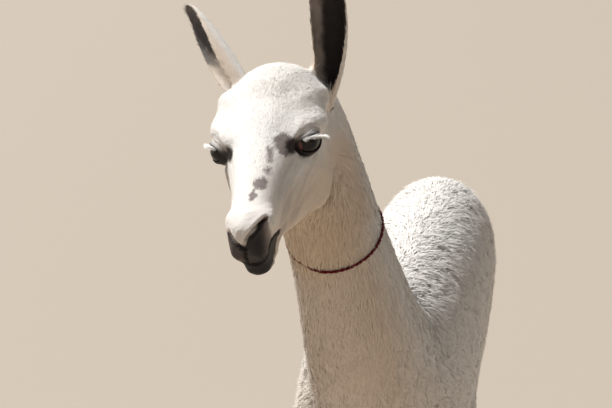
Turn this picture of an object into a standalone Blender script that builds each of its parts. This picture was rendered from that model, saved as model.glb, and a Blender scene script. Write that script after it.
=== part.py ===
"""A young short-wool llama, life size, standing still with its head up.

The animal faces -Y with its left side towards +X, and stands on the floor at z = 0. The outer
surface is the tips of the coat. The body is made whole, from lofts and rounded masses that are
remeshed into one skin, and is then parted into head, neck, trunk, tail and legs by thin cuts.
Lengths are in metres and angles in degrees.
"""

from math import copysign, cos, pi, radians, sin, tau

import bmesh
import bpy
import numpy as np
from mathutils import Euler, Matrix, Vector
from mathutils.bvhtree import BVHTree

# ---- Driving dimensions ----
WITHERS = 1.000  # height of the shoulders' top
CROUP = 1.010  # height of the hips' top
CHEST_FLOOR = 0.525  # underside of the chest
FLANK_FLOOR = 0.605  # underside of the belly, in front of the thighs
HALF_GIRTH = 0.147  # half the width of the barrel
BREAST_Y, RUMP_Y = -0.375, 0.455  # front of the breast and back of the rump
FORE_Y, HIND_Y = -0.215, 0.355  # the fetlocks' places along the body
FORE_X, HIND_X = 0.086, 0.080  # and to each side

# The head's own frame runs u forward from the back of the skull, w to the left and v up.
HEAD_AT = Vector((-0.076, -0.454, 1.316))  # the back of the skull
HEAD_TURN, HEAD_DROP, HEAD_ROLL = -12.0, 9.0, 6.5  # to the right, nose down, crown to the right

EYE_RADIUS = 0.0190
EYES_AT = {1: (0.116, 0.0430, 0.0240), -1: (0.118, -0.0475, 0.0195)}  # the right one sits lower
EYE_TURN = 42  # the eyes look this far out to the side
LIDS = (0.0170, 0.0124)  # half the length and half the height of the opening between the lids

EAR_LENGTH = 0.196
EAR_WIDTH = 0.050
EAR_WALL = 0.0055
EAR_ROOTS = {1: (0.021, 0.049, 0.004), -1: (0.026, -0.024, 0.021)}  # under the skin of the head
# lean out, sweep forward, turn of the opening outward, and how far the middle bows out
EAR_POSES = {1: (5, -16, 2, 0.012), -1: (44, -36, 34, 0.003)}

NECK_AT_COLLAR = (-0.022, -0.407)  # the neck's middle where the collar lies
COLLAR_Z, COLLAR_TILT = 1.157, 25  # its height there, and how far the nape side is lifted
YARN_RADIUS = 0.0023
YARN_POINTS = 30
YARN_PROUD = 0.0004  # how far the yarn's middle stands outside the wool
CLEAR_OF_NECK = 0.3  # a radius well outside the neck

FETLOCK = 0.085  # height at which the feet are parted from the legs
TOE_X = 0.0172  # each toe's middle, from the middle of the foot
PADS_AHEAD = {"front": -0.010, "hind": -0.014}  # the pads' and nails' places, ahead of the fetlock
NAILS_AHEAD = {"front": -0.100, "hind": -0.104}
SIDES = ((1, "left"), (-1, "right"))

CUT = 0.0005  # width of the cuts between parts
FIT = 0.0004  # gap that touching pieces keep
VOXEL = 0.005
SKIN_TRIANGLES = 3700
FINE_FACE = 0.0001  # how much more the thinning spares the face and feet

WOOL = ((0.84, 0.80, 0.73), 0.95)
SHORT_HAIR = ((0.86, 0.84, 0.80), 0.9)
EYE = ((0.02, 0.015, 0.012), 0.08)
NAIL = ((0.10, 0.085, 0.075), 0.5)
YARN = ((0.36, 0.015, 0.02), 0.9)


# ---- Making shapes ----
def finish(name, mesh, colour, roughness):
    """A named part of the animal from a mesh, with its own material."""
    made = bpy.data.materials.new(name)
    made.use_nodes = True
    shader = made.node_tree.nodes["Principled BSDF"]
    shader.inputs["Base Color"].default_value = (*colour, 1)
    shader.inputs["Roughness"].default_value = roughness
    shader.inputs["Metallic"].default_value = 0
    mesh.materials.clear()
    mesh.materials.append(made)
    mesh.shade_smooth()
    mesh.set_sharp_from_angle(angle=radians(40))
    obj = bpy.data.objects.new(name, mesh)
    animal.objects.link(obj)
    return obj


def smooth_rows(rows, steps):
    """Rows of numbers read off a smooth curve through the given rows, `steps` to each stretch."""
    rows = np.array(rows, float)
    ends = 2 * rows[0] - rows[1], 2 * rows[-1] - rows[-2]
    knots = np.vstack([ends[0], rows, ends[1]])
    read = []
    for k in range(1, len(rows)):
        a, b, c, d = knots[k - 1 : k + 3]
        for t in np.arange(steps) / steps:
            bend = (-a + 3 * b - 3 * c + d) * t + (2 * a - 5 * b + 4 * c - d)
            read.append(b + 0.5 * t * ((c - a) + t * bend))
    return [*read, rows[-1]]


def oval(centre, side, up, half_width, rise, drop, fullness=2.0, sides=28):
    """One closed cross-section: an oval that grows squarer as fullness goes above 2."""
    ring = []
    for k in range(sides):
        c, s = cos(tau * k / sides), sin(tau * k / sides)
        across = half_width * copysign(abs(c) ** (2 / fullness), c)
        height = (rise if s > 0 else drop) * copysign(abs(s) ** (2 / fullness), s)
        ring.append(centre + side * across + up * height)
    return ring


def loft(rings):
    """A closed mesh through cross-sections of equal count, with flat ends."""
    shape = bmesh.new()
    rows = [[shape.verts.new(point) for point in ring] for ring in rings]
    count = len(rings[0])
    for low, high in zip(rows, rows[1:]):
        for k in range(count):
            n = (k + 1) % count
            shape.faces.new((low[k], low[n], high[n], high[k]))
    shape.faces.new(rows[0])
    shape.faces.new(rows[-1])
    bmesh.ops.recalc_face_normals(shape, faces=shape.faces)
    return shape


def limb(stations, steps=4, fullness=2.0):
    """A loft square to its own centreline. Each station is x, y, z, half width and half depth."""
    rows = smooth_rows(stations, steps)
    places = [Vector(row[:3]) for row in rows]
    rings = []
    for k, row in enumerate(rows):
        along = (places[min(k + 1, len(rows) - 1)] - places[max(k - 1, 0)]).normalized()
        side = (Vector((1, 0, 0)) - along * along.x).normalized()
        rings.append(oval(places[k], side, along.cross(side), row[3], row[4], row[4], fullness))
    return loft(rings)


def mass(centre, radii, frame=None, turn=(0, 0, 0), sides=20):
    """A rounded mass, such as a muscle or a pad, placed in a frame."""
    shape = bmesh.new()
    bmesh.ops.create_uvsphere(shape, u_segments=sides, v_segments=sides * 2 // 3, radius=1)
    place = Matrix.Translation(centre) @ Euler([radians(a) for a in turn]).to_matrix().to_4x4()
    place = place @ Matrix.Diagonal((*radii, 1))
    shape.transform(frame @ place if frame else place)
    return shape


def mesh_of(shapes, name):
    """One mesh from several bmesh shapes, which may still run through each other."""
    joined = bmesh.new()
    for shape in shapes:
        part = bpy.data.meshes.new("part")
        shape.to_mesh(part)
        joined.from_mesh(part)
        bpy.data.meshes.remove(part)
        shape.free()
    mesh = bpy.data.meshes.new(name)
    joined.to_mesh(mesh)
    joined.free()
    return mesh


def helper(name, mesh):
    """An object that shapes others and is no part of the animal."""
    obj = bpy.data.objects.new(name, mesh)
    obj.hide_render = True
    obj.display_type = "WIRE"
    helpers.objects.link(obj)
    return obj


def evaluated(obj, name):
    """The mesh of an object with its modifiers applied, as a new mesh."""
    bpy.context.view_layer.update()
    graph = bpy.context.evaluated_depsgraph_get()
    mesh = bpy.data.meshes.new_from_object(obj.evaluated_get(graph))
    mesh.name = name
    return mesh


def block(name, place):
    """A helper box, made by placing a cube whose top face is at the origin and whose side is 1."""
    shape = bmesh.new()
    bmesh.ops.create_cube(shape, size=1, matrix=place @ Matrix.Translation((0, 0, -0.5)))
    return helper(name, mesh_of([shape], name))


def cut(mesh, cutter, operation, name):
    """The mesh after one Boolean with a helper."""
    target = bpy.data.objects.new(name, mesh)
    helpers.objects.link(target)
    boolean = target.modifiers.new("cut", "BOOLEAN")
    boolean.operation = operation
    boolean.object = cutter
    made = evaluated(target, name)
    bpy.data.objects.remove(target)
    return made


def grown(mesh, by, name):
    """A helper that is the mesh swollen by a small gap."""
    obj = helper(name, mesh.copy())
    swell = obj.modifiers.new("swell", "DISPLACE")
    swell.strength = by
    swell.mid_level = 0
    return obj


def part_off(body, name, place, size):
    """Parts a piece from the body with a box hung under a placed plane. Returns rest and piece."""
    inner_size = [side - 2 * CUT for side in size]
    inner_place = place @ Matrix.Translation((0, 0, -CUT))
    outer = block(name + "_cutter", place @ Matrix.Diagonal((*size, 1)))
    inner = block(name + "_keeper", inner_place @ Matrix.Diagonal((*inner_size, 1)))
    piece = cut(body, inner, "INTERSECT", name)
    rest = cut(body, outer, "DIFFERENCE", "body")
    return rest, piece


def plane_at(point, below, slope=0.0):
    """A frame whose Z axis points away from the `below` direction, sheared by slope along X."""
    turn = Vector(below).to_track_quat("-Z", "Y").to_matrix().to_4x4()
    shear = Matrix.Identity(4)
    shear[2][0] = slope
    return Matrix.Translation(point) @ turn @ shear


# ---- The body's masses ----
def trunk():
    """The barrel, from the breast to the rump. Each station is y, top, floor and half width."""
    stations = (
        (BREAST_Y, 0.840, 0.700, 0.055),
        (BREAST_Y + 0.035, 0.900, 0.615, 0.105),
        (FORE_Y - 0.03, WITHERS - 0.010, CHEST_FLOOR + 0.020, 0.134),
        (-0.080, WITHERS, CHEST_FLOOR, HALF_GIRTH),
        (0.090, CROUP + 0.005, CHEST_FLOOR + 0.020, HALF_GIRTH),
        (0.235, CROUP + 0.005, FLANK_FLOOR - 0.015, HALF_GIRTH - 0.006),
        (0.340, CROUP - 0.005, FLANK_FLOOR + 0.010, HALF_GIRTH - 0.018),
        (RUMP_Y - 0.025, 0.905, 0.690, 0.112),
        (RUMP_Y, 0.850, 0.740, 0.055),
    )
    rings = []
    for y, top, floor, half_width in smooth_rows(stations, 4):
        middle = floor + 0.50 * (top - floor)
        side, up = Vector((1, 0, 0)), Vector((0, 0, 1))
        rings.append(oval(Vector((0, y, middle)), side, up, half_width, top - middle, middle - floor, 2.15))
    return loft(rings)


def neck():
    """The neck bends a little to the animal's right on its way up."""
    return limb(
        (
            (0.000, -0.120, 0.775, 0.115, 0.150),
            (0.006, -0.245, 0.850, 0.116, 0.140),
            (0.006, -0.325, 0.945, 0.096, 0.116),
            (-0.004, -0.372, 1.045, 0.082, 0.094),
            (-0.021, -0.402, 1.145, 0.070, 0.082),
            (-0.042, -0.425, 1.235, 0.067, 0.076),
            (-0.060, -0.442, 1.315, 0.060, 0.068),
            (-0.072, -0.462, 1.360, 0.042, 0.046),
        )
    )


def foreleg(side):
    """Shoulder, forearm, knee, cannon and pastern of one side."""
    x, y = side * FORE_X, FORE_Y
    return limb(
        (
            (side * 0.070, y - 0.020, 0.800, 0.058, 0.095),
            (side * 0.080, y - 0.020, 0.665, 0.052, 0.088),
            (side * 0.084, y + 0.010, 0.545, 0.044, 0.066),
            (x, y + 0.000, 0.445, 0.036, 0.046),
            (x, y - 0.004, 0.365, 0.031, 0.036),
            (x, y - 0.006, 0.325, 0.034, 0.037),
            (x, y - 0.002, 0.275, 0.027, 0.030),
            (x, y, 0.190, 0.024, 0.026),
            (x, y, 0.105, 0.030, 0.031),
            (x, y - 0.014, 0.062, 0.029, 0.032),
            (x, y - 0.024, 0.030, 0.032, 0.040),
        )
    )


def hindleg(side):
    """Thigh, stifle, gaskin, hock, cannon and pastern of one side."""
    x, y = side * HIND_X, HIND_Y
    return limb(
        (
            (side * 0.062, y - 0.010, 0.830, 0.060, 0.092),
            (side * 0.074, y - 0.018, 0.700, 0.054, 0.108),
            (side * 0.078, y - 0.050, 0.590, 0.046, 0.086),
            (side * 0.078, y - 0.010, 0.495, 0.037, 0.056),
            (x, y + 0.034, 0.425, 0.029, 0.040),
            (x, y + 0.046, 0.385, 0.031, 0.043),
            (x, y + 0.036, 0.325, 0.027, 0.034),
            (x, y + 0.018, 0.215, 0.024, 0.027),
            (x, y, 0.108, 0.030, 0.032),
            (x, y - 0.016, 0.062, 0.029, 0.033),
            (x, y - 0.028, 0.030, 0.032, 0.040),
        )
    )


def toes(x, y):
    """The two toes of one foot, each on its own soft pad."""
    made = []
    for side in (-1, 1):
        made.append(mass((x + side * TOE_X, y - 0.034, 0.021), (0.0180, 0.052, 0.030)))
        made.append(mass((x + side * TOE_X, y - 0.072, 0.013), (0.0150, 0.024, 0.020)))
    return made


def tail():
    """A short woolly tail, held down close behind the rump."""
    y = RUMP_Y
    return limb(
        (
            (0.000, y - 0.060, 0.925, 0.032, 0.030),
            (0.000, y + 0.002, 0.908, 0.037, 0.032),
            (0.003, y + 0.036, 0.858, 0.042, 0.032),
            (0.005, y + 0.041, 0.785, 0.042, 0.031),
            (0.007, y + 0.038, 0.715, 0.031, 0.023),
            (0.007, y + 0.034, 0.690, 0.012, 0.010),
        )
    )


def head_frame():
    """Takes a point as u, w, v in the head's own frame to its place in the world."""
    turn = Matrix.Rotation(radians(-HEAD_TURN), 3, "Z")
    drop = Matrix.Rotation(radians(HEAD_DROP), 3, "X")
    roll = Matrix.Rotation(radians(-HEAD_ROLL), 3, "Y")
    pose = turn @ drop @ roll
    forward, left, up = pose @ Vector((0, -1, 0)), pose @ Vector((1, 0, 0)), pose @ Vector((0, 0, 1))
    frame = Matrix((forward, left, up)).transposed().to_4x4()
    frame.translation = HEAD_AT
    return frame


def skull():
    """The head's core. Each station is u, top, underside and half width."""
    stations = (
        (-0.012, 0.030, -0.030, 0.030),
        (0.010, 0.060, -0.060, 0.056),
        (0.045, 0.073, -0.086, 0.062),
        (0.085, 0.072, -0.094, 0.063),
        (0.120, 0.061, -0.088, 0.056),
        (0.155, 0.046, -0.077, 0.044),
        (0.195, 0.033, -0.064, 0.033),
        (0.235, 0.021, -0.052, 0.0270),
        (0.268, 0.008, -0.038, 0.0230),
        (0.282, -0.004, -0.026, 0.013),
    )
    rings = []
    for u, top, floor, half_width in smooth_rows(stations, 4):
        middle = floor + 0.52 * (top - floor)
        side, up = Vector((0, 1, 0)), Vector((0, 0, 1))
        centre = Vector((u, 0, middle))
        rings.append(oval(centre, side, up, half_width, top - middle, middle - floor, 2.3))
    shape = loft(rings)
    shape.transform(HEAD)
    return shape


def face():
    """The rounded masses that give the head its character."""
    made = [
        mass((0.040, 0.004, 0.052), (0.058, 0.054, 0.038), HEAD),  # crown, with its woolly top
        mass((0.262, 0.000, 0.000), (0.026, 0.0210, 0.017), HEAD),  # end of the nose
        mass((0.256, 0.004, -0.048), (0.023, 0.0200, 0.0130), HEAD),  # lower lip
        mass((0.228, 0.004, -0.053), (0.030, 0.0190, 0.0140), HEAD),  # chin
    ]
    for side in (-1, 1):
        brow = (0, 0, -side * 24)
        made.append(mass((0.106, side * 0.050 - 0.001, 0.034), (0.042, 0.0195, 0.019), HEAD, brow))
        made.append(mass((0.066, side * 0.045, 0.046), (0.044, 0.0200, 0.024), HEAD, brow))  # temple
        made.append(mass((0.124, side * 0.041, -0.014), (0.040, 0.014, 0.018), HEAD, brow))  # cheekbone
        made.append(mass((0.066, side * 0.042, -0.048), (0.050, 0.022, 0.042), HEAD))  # jaw muscle
        made.append(mass((0.266, side * 0.0105, -0.022), (0.021, 0.0130, 0.0190), HEAD))  # lip lobe
        made.append(mass((0.247, side * 0.0200, -0.003), (0.024, 0.0105, 0.0140), HEAD))  # nostril wing
        made.append(mass((0.014, side * 0.046, 0.040), (0.024, 0.0190, 0.022), HEAD))  # root of the ear
    return made


def weigh(obj, name, weights, levels=8):
    """A vertex group that holds the given weights, in steps."""
    group = obj.vertex_groups.new(name=name)
    steps = np.round(weights * levels).astype(int)
    for level in range(1, levels + 1):
        group.add(np.flatnonzero(steps == level).tolist(), level / levels, "REPLACE")


def whole_body():
    """Every mass remeshed into one skin, smoothed, thinned out and set flat on the floor."""
    shapes = [trunk(), neck(), tail(), skull(), *face()]
    for side in (-1, 1):
        shapes += [foreleg(side), hindleg(side)]
        shapes += toes(side * FORE_X, FORE_Y + PADS_AHEAD["front"])
        shapes += toes(side * HIND_X, HIND_Y + PADS_AHEAD["hind"])
    obj = helper("body_masses", mesh_of(shapes, "body_masses"))
    remesh = obj.modifiers.new("one skin", "REMESH")
    remesh.mode = "VOXEL"
    remesh.voxel_size = VOXEL
    soften = obj.modifiers.new("soften", "SMOOTH")
    soften.factor = 0.5
    soften.iterations = 5
    skin = evaluated(obj, "skin")
    body = helper("body_skin", skin)
    places = np.empty(len(skin.vertices) * 3)
    skin.vertices.foreach_get("co", places)
    places = places.reshape(-1, 3)
    from_face = np.linalg.norm(places - np.array(HEAD @ Vector((0.13, 0, 0))), axis=1)
    broad = np.clip((from_face - 0.17) / 0.10, 0, 1) * np.clip(places[:, 2] / 0.16, 0.5, 1)
    weigh(body, "broad", broad)
    weigh(body, "thinned", 0.25 + 0.75 * broad)
    blend = body.modifiers.new("blend", "SMOOTH")
    blend.factor = 0.5
    blend.iterations = 30
    blend.vertex_group = "broad"
    thin = body.modifiers.new("thin", "DECIMATE")
    thin.ratio = SKIN_TRIANGLES / (2 * len(skin.polygons))
    thin.vertex_group = "thinned"
    thin.vertex_group_factor = FINE_FACE
    mesh = evaluated(body, "body")
    shape = bmesh.new()
    shape.from_mesh(mesh)
    halves = [*shape.verts, *shape.edges, *shape.faces]
    level = bmesh.ops.bisect_plane(
        shape, geom=halves, plane_co=(0, 0, 0), plane_no=(0, 0, -1), clear_outer=True
    )
    rims = [item for item in level["geom_cut"] if isinstance(item, bmesh.types.BMEdge)]
    bmesh.ops.contextual_create(shape, geom=rims)
    bmesh.ops.triangulate(shape, faces=shape.faces)
    shape.to_mesh(mesh)
    shape.free()
    return mesh


# ---- Parts of their own ----
def ear(side):
    """One ear: a cupped shell, furled at its root and open above, that bows in towards its tip."""
    lean, sweep, swivel = (radians(angle) for angle in EAR_POSES[side][:3])
    frame = HEAD @ Matrix.Translation(EAR_ROOTS[side]) @ Matrix.Rotation(-side * lean, 4, "X")
    frame = frame @ Matrix.Rotation(sweep, 4, "Y") @ Matrix.Rotation(side * swivel, 4, "Z")
    # share of the length, share of the half width, and half the arc that the shell wraps
    stations = ((0, 0.50, 160), (0.14, 0.62, 150), (0.30, 0.82, 138), (0.48, 0.96, 120), (0.65, 1, 102),
                (0.82, 0.94, 82), (0.94, 0.68, 64), (1, 0.30, 50))
    rings = []
    for share, width, arc in smooth_rows(stations, 2):
        half, wrap = width * EAR_WIDTH / 2, radians(arc)
        radius = half / sin(min(wrap, pi / 2))
        wall = min(EAR_WALL, 0.7 * radius)
        middle = side * EAR_POSES[side][3] * 4 * share * (1 - share)
        angles = np.linspace(-wrap, wrap, 7)
        back = [(-radius * cos(a), middle + radius * sin(a)) for a in angles]
        hollow = [((wall - radius) * cos(a), middle + (radius - wall) * sin(a)) for a in angles]
        rings.append([frame @ Vector((x, y, share * EAR_LENGTH)) for x, y in back + hollow[::-1]])
    return loft(rings)


def nail_on(x, y):
    """One toenail: a short pointed horn, nose down, clear of the floor."""
    return mass((x, y, 0.0145), (0.0095, 0.0200, 0.0125), turn=(-8, 0, 0), sides=8)


def eye_frame(side):
    """The eye's own frame: X looks out between the lids, Y runs along them and Z is up."""
    out = Matrix.Rotation(radians(side * EYE_TURN), 4, "Z")
    return HEAD @ Matrix.Translation(EYES_AT[side]) @ out


def collar(neck_mesh):
    """The line of the yarn round the neck, half sunk in the wool."""
    surface = bmesh.new()
    surface.from_mesh(neck_mesh)
    tree = BVHTree.FromBMesh(surface)
    surface.free()
    tilt = Matrix.Rotation(radians(COLLAR_TILT), 4, "X")
    middle = Vector((*NECK_AT_COLLAR, COLLAR_Z))
    turns = [tau * k / YARN_POINTS for k in range(YARN_POINTS)]
    around = [tilt @ Vector((cos(turn), sin(turn), 0)) for turn in turns]
    starts = [middle + out * CLEAR_OF_NECK for out in around]
    hits = [tree.ray_cast(start, -out)[0] for start, out in zip(starts, around)]
    wool = np.array([(hit - middle).length for hit in hits])
    reach = wool
    for _ in range(3):
        reach = (np.roll(reach, 1) + 2 * reach + np.roll(reach, -1)) / 4
    reach = np.maximum(reach, wool) + YARN_PROUD
    return [middle + out * float(far) for out, far in zip(around, reach)]


def yarn_loop(name, line):
    """A closed loop of yarn as a mesh."""
    curve = bpy.data.curves.new(name, "CURVE")
    curve.dimensions = "3D"
    curve.bevel_depth = YARN_RADIUS
    curve.bevel_resolution = 1
    spline = curve.splines.new("POLY")
    spline.points.add(len(line) - 1)
    for point, place in zip(spline.points, line):
        point.co = (*place, 1)
    spline.use_cyclic_u = True
    loop = bpy.data.objects.new(name, curve)
    helpers.objects.link(loop)
    mesh = evaluated(loop, name)
    bpy.data.objects.remove(loop)
    return mesh


# ---- Building ----
for leftover in list(bpy.data.objects):
    bpy.data.objects.remove(leftover)
animal = bpy.data.collections.new("llama")
helpers = bpy.data.collections.new("cutters")
bpy.context.scene.collection.children.link(animal)
bpy.context.scene.collection.children.link(helpers)
HEAD = head_frame()

body = whole_body()
pieces = {}
for name, point, below, size in (
    ("head", HEAD @ Vector((0.008, 0, -0.020)), (0, -0.80, 0.60), (0.5, 0.7, 0.6)),
    ("tail", (0, RUMP_Y + 0.009, 0.80), (0, 1, 0), (0.3, 0.4, 0.2)),
    ("neck", (0, -0.315, 0.930), (0, -0.64, 0.77), (0.5, 0.5, 0.6)),
):
    body, pieces[name] = part_off(body, name, plane_at(point, below), size)
for end, x, y, top, slope in (
    ("front", FORE_X, FORE_Y, 0.565, 0.80),
    ("hind", HIND_X, HIND_Y, 0.680, 1.40),
):
    for side, hand in SIDES:
        centre = (side * 0.160, y + 0.020, top + slope * 0.07)
        place = plane_at(centre, (0, 0, -1), side * slope)
        body, leg = part_off(body, f"leg_{end}_{hand}", place, (0.30, 0.32, 1.2))
        sole = plane_at((side * x, y, FETLOCK), (0, 0, -1))
        pieces[f"leg_{end}_{hand}"], foot = part_off(leg, f"foot_{end}_{hand}", sole, (0.2, 0.3, 0.2))
        for toe, along in (("inner", -side), ("outer", side)):
            name = f"nail_{end}_{hand}_{toe}"
            nail = mesh_of([nail_on(side * x + along * TOE_X, y + NAILS_AHEAD[end])], name)
            foot = cut(foot, grown(nail, FIT, name + "_bed"), "DIFFERENCE", "foot")
            finish(name, nail, *NAIL)
        pieces[f"foot_{end}_{hand}"] = foot
pieces["trunk"] = body

for side, hand in SIDES:
    ball = mesh_of([mass((0, 0, 0), [EYE_RADIUS] * 3, eye_frame(side), sides=15)], "eye_" + hand)
    lids = mesh_of([mass((EYE_RADIUS, 0, 0), (EYE_RADIUS, *LIDS), eye_frame(side), sides=18)], "lids")
    for hollow in (grown(ball, FIT, f"socket_{hand}"), helper(f"lids_{hand}", lids)):
        pieces["head"] = cut(pieces["head"], hollow, "DIFFERENCE", "head")
    finish("eye_" + hand, ball, *EYE)
for side, hand in SIDES:
    shell = mesh_of([ear(side)], "ear")
    pieces["ear_" + hand] = cut(shell, grown(pieces["head"], FIT, f"ear_seat_{hand}"), "DIFFERENCE", "ear")

yarn = yarn_loop("collar", collar(pieces["neck"]))
pieces["neck"] = cut(pieces["neck"], grown(yarn, FIT, "collar_groove"), "DIFFERENCE", "neck")
finish("collar", yarn, *YARN)
for name, mesh in pieces.items():
    finish(name, mesh, *(SHORT_HAIR if name.startswith(("head", "ear", "foot")) else WOOL))

# The origin is the floor under the middle of the whole animal's box.
corners = [vertex.co for piece in animal.objects for vertex in piece.data.vertices]
middle = [(max(c[axis] for c in corners) + min(c[axis] for c in corners)) / 2 for axis in (0, 1)]
for piece in animal.objects:
    piece.data.transform(Matrix.Translation((-middle[0], -middle[1], 0)))
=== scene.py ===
"""A young white llama, standing, with a thin yarn collar: a life-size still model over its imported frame."""
import math
from itertools import product

import bmesh
import bpy
import numpy as np
from mathutils import Matrix, Vector
from mathutils.bvhtree import BVHTree
from mathutils.kdtree import KDTree


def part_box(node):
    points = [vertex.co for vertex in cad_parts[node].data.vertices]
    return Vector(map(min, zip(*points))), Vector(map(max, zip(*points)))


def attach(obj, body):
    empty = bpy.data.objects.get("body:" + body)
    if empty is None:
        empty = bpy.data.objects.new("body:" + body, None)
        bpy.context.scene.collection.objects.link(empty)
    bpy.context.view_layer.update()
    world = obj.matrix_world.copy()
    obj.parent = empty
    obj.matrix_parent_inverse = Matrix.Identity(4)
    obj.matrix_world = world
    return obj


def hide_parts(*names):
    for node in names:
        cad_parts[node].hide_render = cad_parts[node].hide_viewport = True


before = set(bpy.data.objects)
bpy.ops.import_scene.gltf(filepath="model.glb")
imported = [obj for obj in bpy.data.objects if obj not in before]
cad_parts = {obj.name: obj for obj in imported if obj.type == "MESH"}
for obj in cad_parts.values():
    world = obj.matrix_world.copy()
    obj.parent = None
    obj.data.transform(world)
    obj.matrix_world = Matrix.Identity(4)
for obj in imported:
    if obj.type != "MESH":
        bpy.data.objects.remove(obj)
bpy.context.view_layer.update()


# ---- The head's own directions, and the studio ----
# The head's frame runs u forward, w to the animal's left and v up, from the back of the skull. The
# animal stands on a plain pale floor, under a soft sun and two lamps. It is seen from its front left,
# a little above the eyes.
HEAD_TURN, HEAD_DROP, HEAD_ROLL = -12, 9, 6.5
EYE_RADIUS = 0.0190
EYES_TO_ORIGIN = (0.1170, -0.00225, 0.02175)  # where the eyes' middle is, from the back of the skull
SIDES = ((1, "left"), (-1, "right"))

VIEW_TURN, VIEW_HEIGHT = 19, 20  # degrees round from the front, and above the level
VIEW_DISTANCE, VIEW_RIGHT, VIEW_DOWN = 0.9752, 0.0469, 0.0679
LENS = 50.0
SUN_WAY = (1.35, -0.45, -2.35)
SUN_STRENGTH, SUN_WIDTH = 4.9, 12  # its width in degrees
SUN_COLOUR = (1.0, 0.985, 0.96)
LAMPS = {
    # name: place from the eyes' middle, width, power, colour
    "fill": ((2.2, -2.2, 0.2), 3.0, 4, (1.0, 0.72, 0.50)),
    "front": ((-1.2, -2.4, 0.6), 2.2, 2, (1.0, 0.90, 0.82)),
}
SKY_COLOUR, SKY_STRENGTH = (0.86, 0.88, 0.90), 0.19
FLOOR_COLOUR = (0.43, 0.37, 0.305)
FLOOR_FLAT, FLOOR_REACH, FLOOR_RISE = 20, 90, 9  # radius of the level part and of all of it, and its rise
FLOOR_SPOKES = 96


def turned(axis, degrees):
    return np.array(Matrix.Rotation(math.radians(degrees), 3, axis))


head_turn = turned("Z", -HEAD_TURN) @ turned("X", HEAD_DROP) @ turned("Y", -HEAD_ROLL)
head_axes = np.array([head_turn @ (0, -1, 0), head_turn @ (1, 0, 0), head_turn @ (0, 0, 1)])
eye_centres = {side: np.array(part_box("eye_" + hand)).mean(0) for side, hand in SIDES}
eyes_middle = (eye_centres[1] + eye_centres[-1]) / 2
head_origin = eyes_middle - np.array(EYES_TO_ORIGIN) @ head_axes


def in_head(points):
    """Places in the world as u, w, v in the head's frame."""
    return (points - head_origin) @ head_axes.T


def from_head(points):
    """Places in the head's frame as places in the world."""
    return np.asarray(points) @ head_axes + head_origin


def principled(name, colour, roughness):
    """A new material, and its nodes, links and shader."""
    made = bpy.data.materials.new(name)
    made.use_nodes = True
    nodes, links = made.node_tree.nodes, made.node_tree.links
    shader = nodes["Principled BSDF"]
    shader.inputs["Base Color"].default_value = (*colour, 1)
    shader.inputs["Roughness"].default_value = roughness
    return made, nodes, links, shader


def grain(nodes, links, scale, detail=2.0, at=None):
    """Fine random shades, laid out by the places given or else by the piece's own."""
    made = nodes.new("ShaderNodeTexNoise")
    made.inputs["Scale"].default_value = scale
    made.inputs["Detail"].default_value = detail
    if at is not None:
        links.new(at, made.inputs["Vector"])
    return made.outputs["Fac"]


def bumps(nodes, links, shader, height, strength, distance=None):
    """Raises a shader's surface by a height."""
    bump = nodes.new("ShaderNodeBump")
    bump.inputs["Strength"].default_value = strength
    if distance is not None:
        bump.inputs["Distance"].default_value = distance
    links.new(height, bump.inputs["Height"])
    links.new(bump.outputs["Normal"], shader.inputs["Normal"])


def aimed(piece, way):
    """Points a camera or a light along a way, and puts it in the scene."""
    piece.rotation_mode = "QUATERNION"
    piece.rotation_quaternion = Vector(way).to_track_quat("-Z", "Y")
    bpy.context.scene.collection.objects.link(piece)


def set_camera():
    a, e = math.radians(VIEW_TURN), math.radians(VIEW_HEIGHT)
    back = Vector((math.sin(a) * math.cos(e), -math.cos(a) * math.cos(e), math.sin(e)))
    right = Vector((math.cos(a), math.sin(a), 0))
    above = back.cross(right)
    camera = bpy.data.objects.new("camera", bpy.data.cameras.new("camera"))
    camera.data.lens = LENS
    camera.data.sensor_width = 36
    camera.data.clip_start, camera.data.clip_end = 0.05, 100
    camera.location = Vector(eyes_middle) + right * VIEW_RIGHT - above * VIEW_DOWN + back * VIEW_DISTANCE
    aimed(camera, -back)
    bpy.context.scene.camera = camera


def hang_lights():
    sun = bpy.data.objects.new("key", bpy.data.lights.new("key", "SUN"))
    sun.data.energy = SUN_STRENGTH
    sun.data.angle = math.radians(SUN_WIDTH)
    sun.data.color = SUN_COLOUR
    aimed(sun, SUN_WAY)
    for name, (place, width, power, colour) in LAMPS.items():
        lamp = bpy.data.objects.new(name, bpy.data.lights.new(name, "AREA"))
        lamp.data.size = width
        lamp.data.energy = power
        lamp.data.color = colour
        lamp.location = Vector(eyes_middle) + Vector(place)
        aimed(lamp, -Vector(place))
    world = bpy.data.worlds.new("studio")
    world.use_nodes = True
    sky = world.node_tree.nodes["Background"]
    sky.inputs["Color"].default_value = (*SKY_COLOUR, 1)
    sky.inputs["Strength"].default_value = SKY_STRENGTH
    bpy.context.scene.world = world
    bpy.context.scene.view_settings.view_transform = "Standard"


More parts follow.
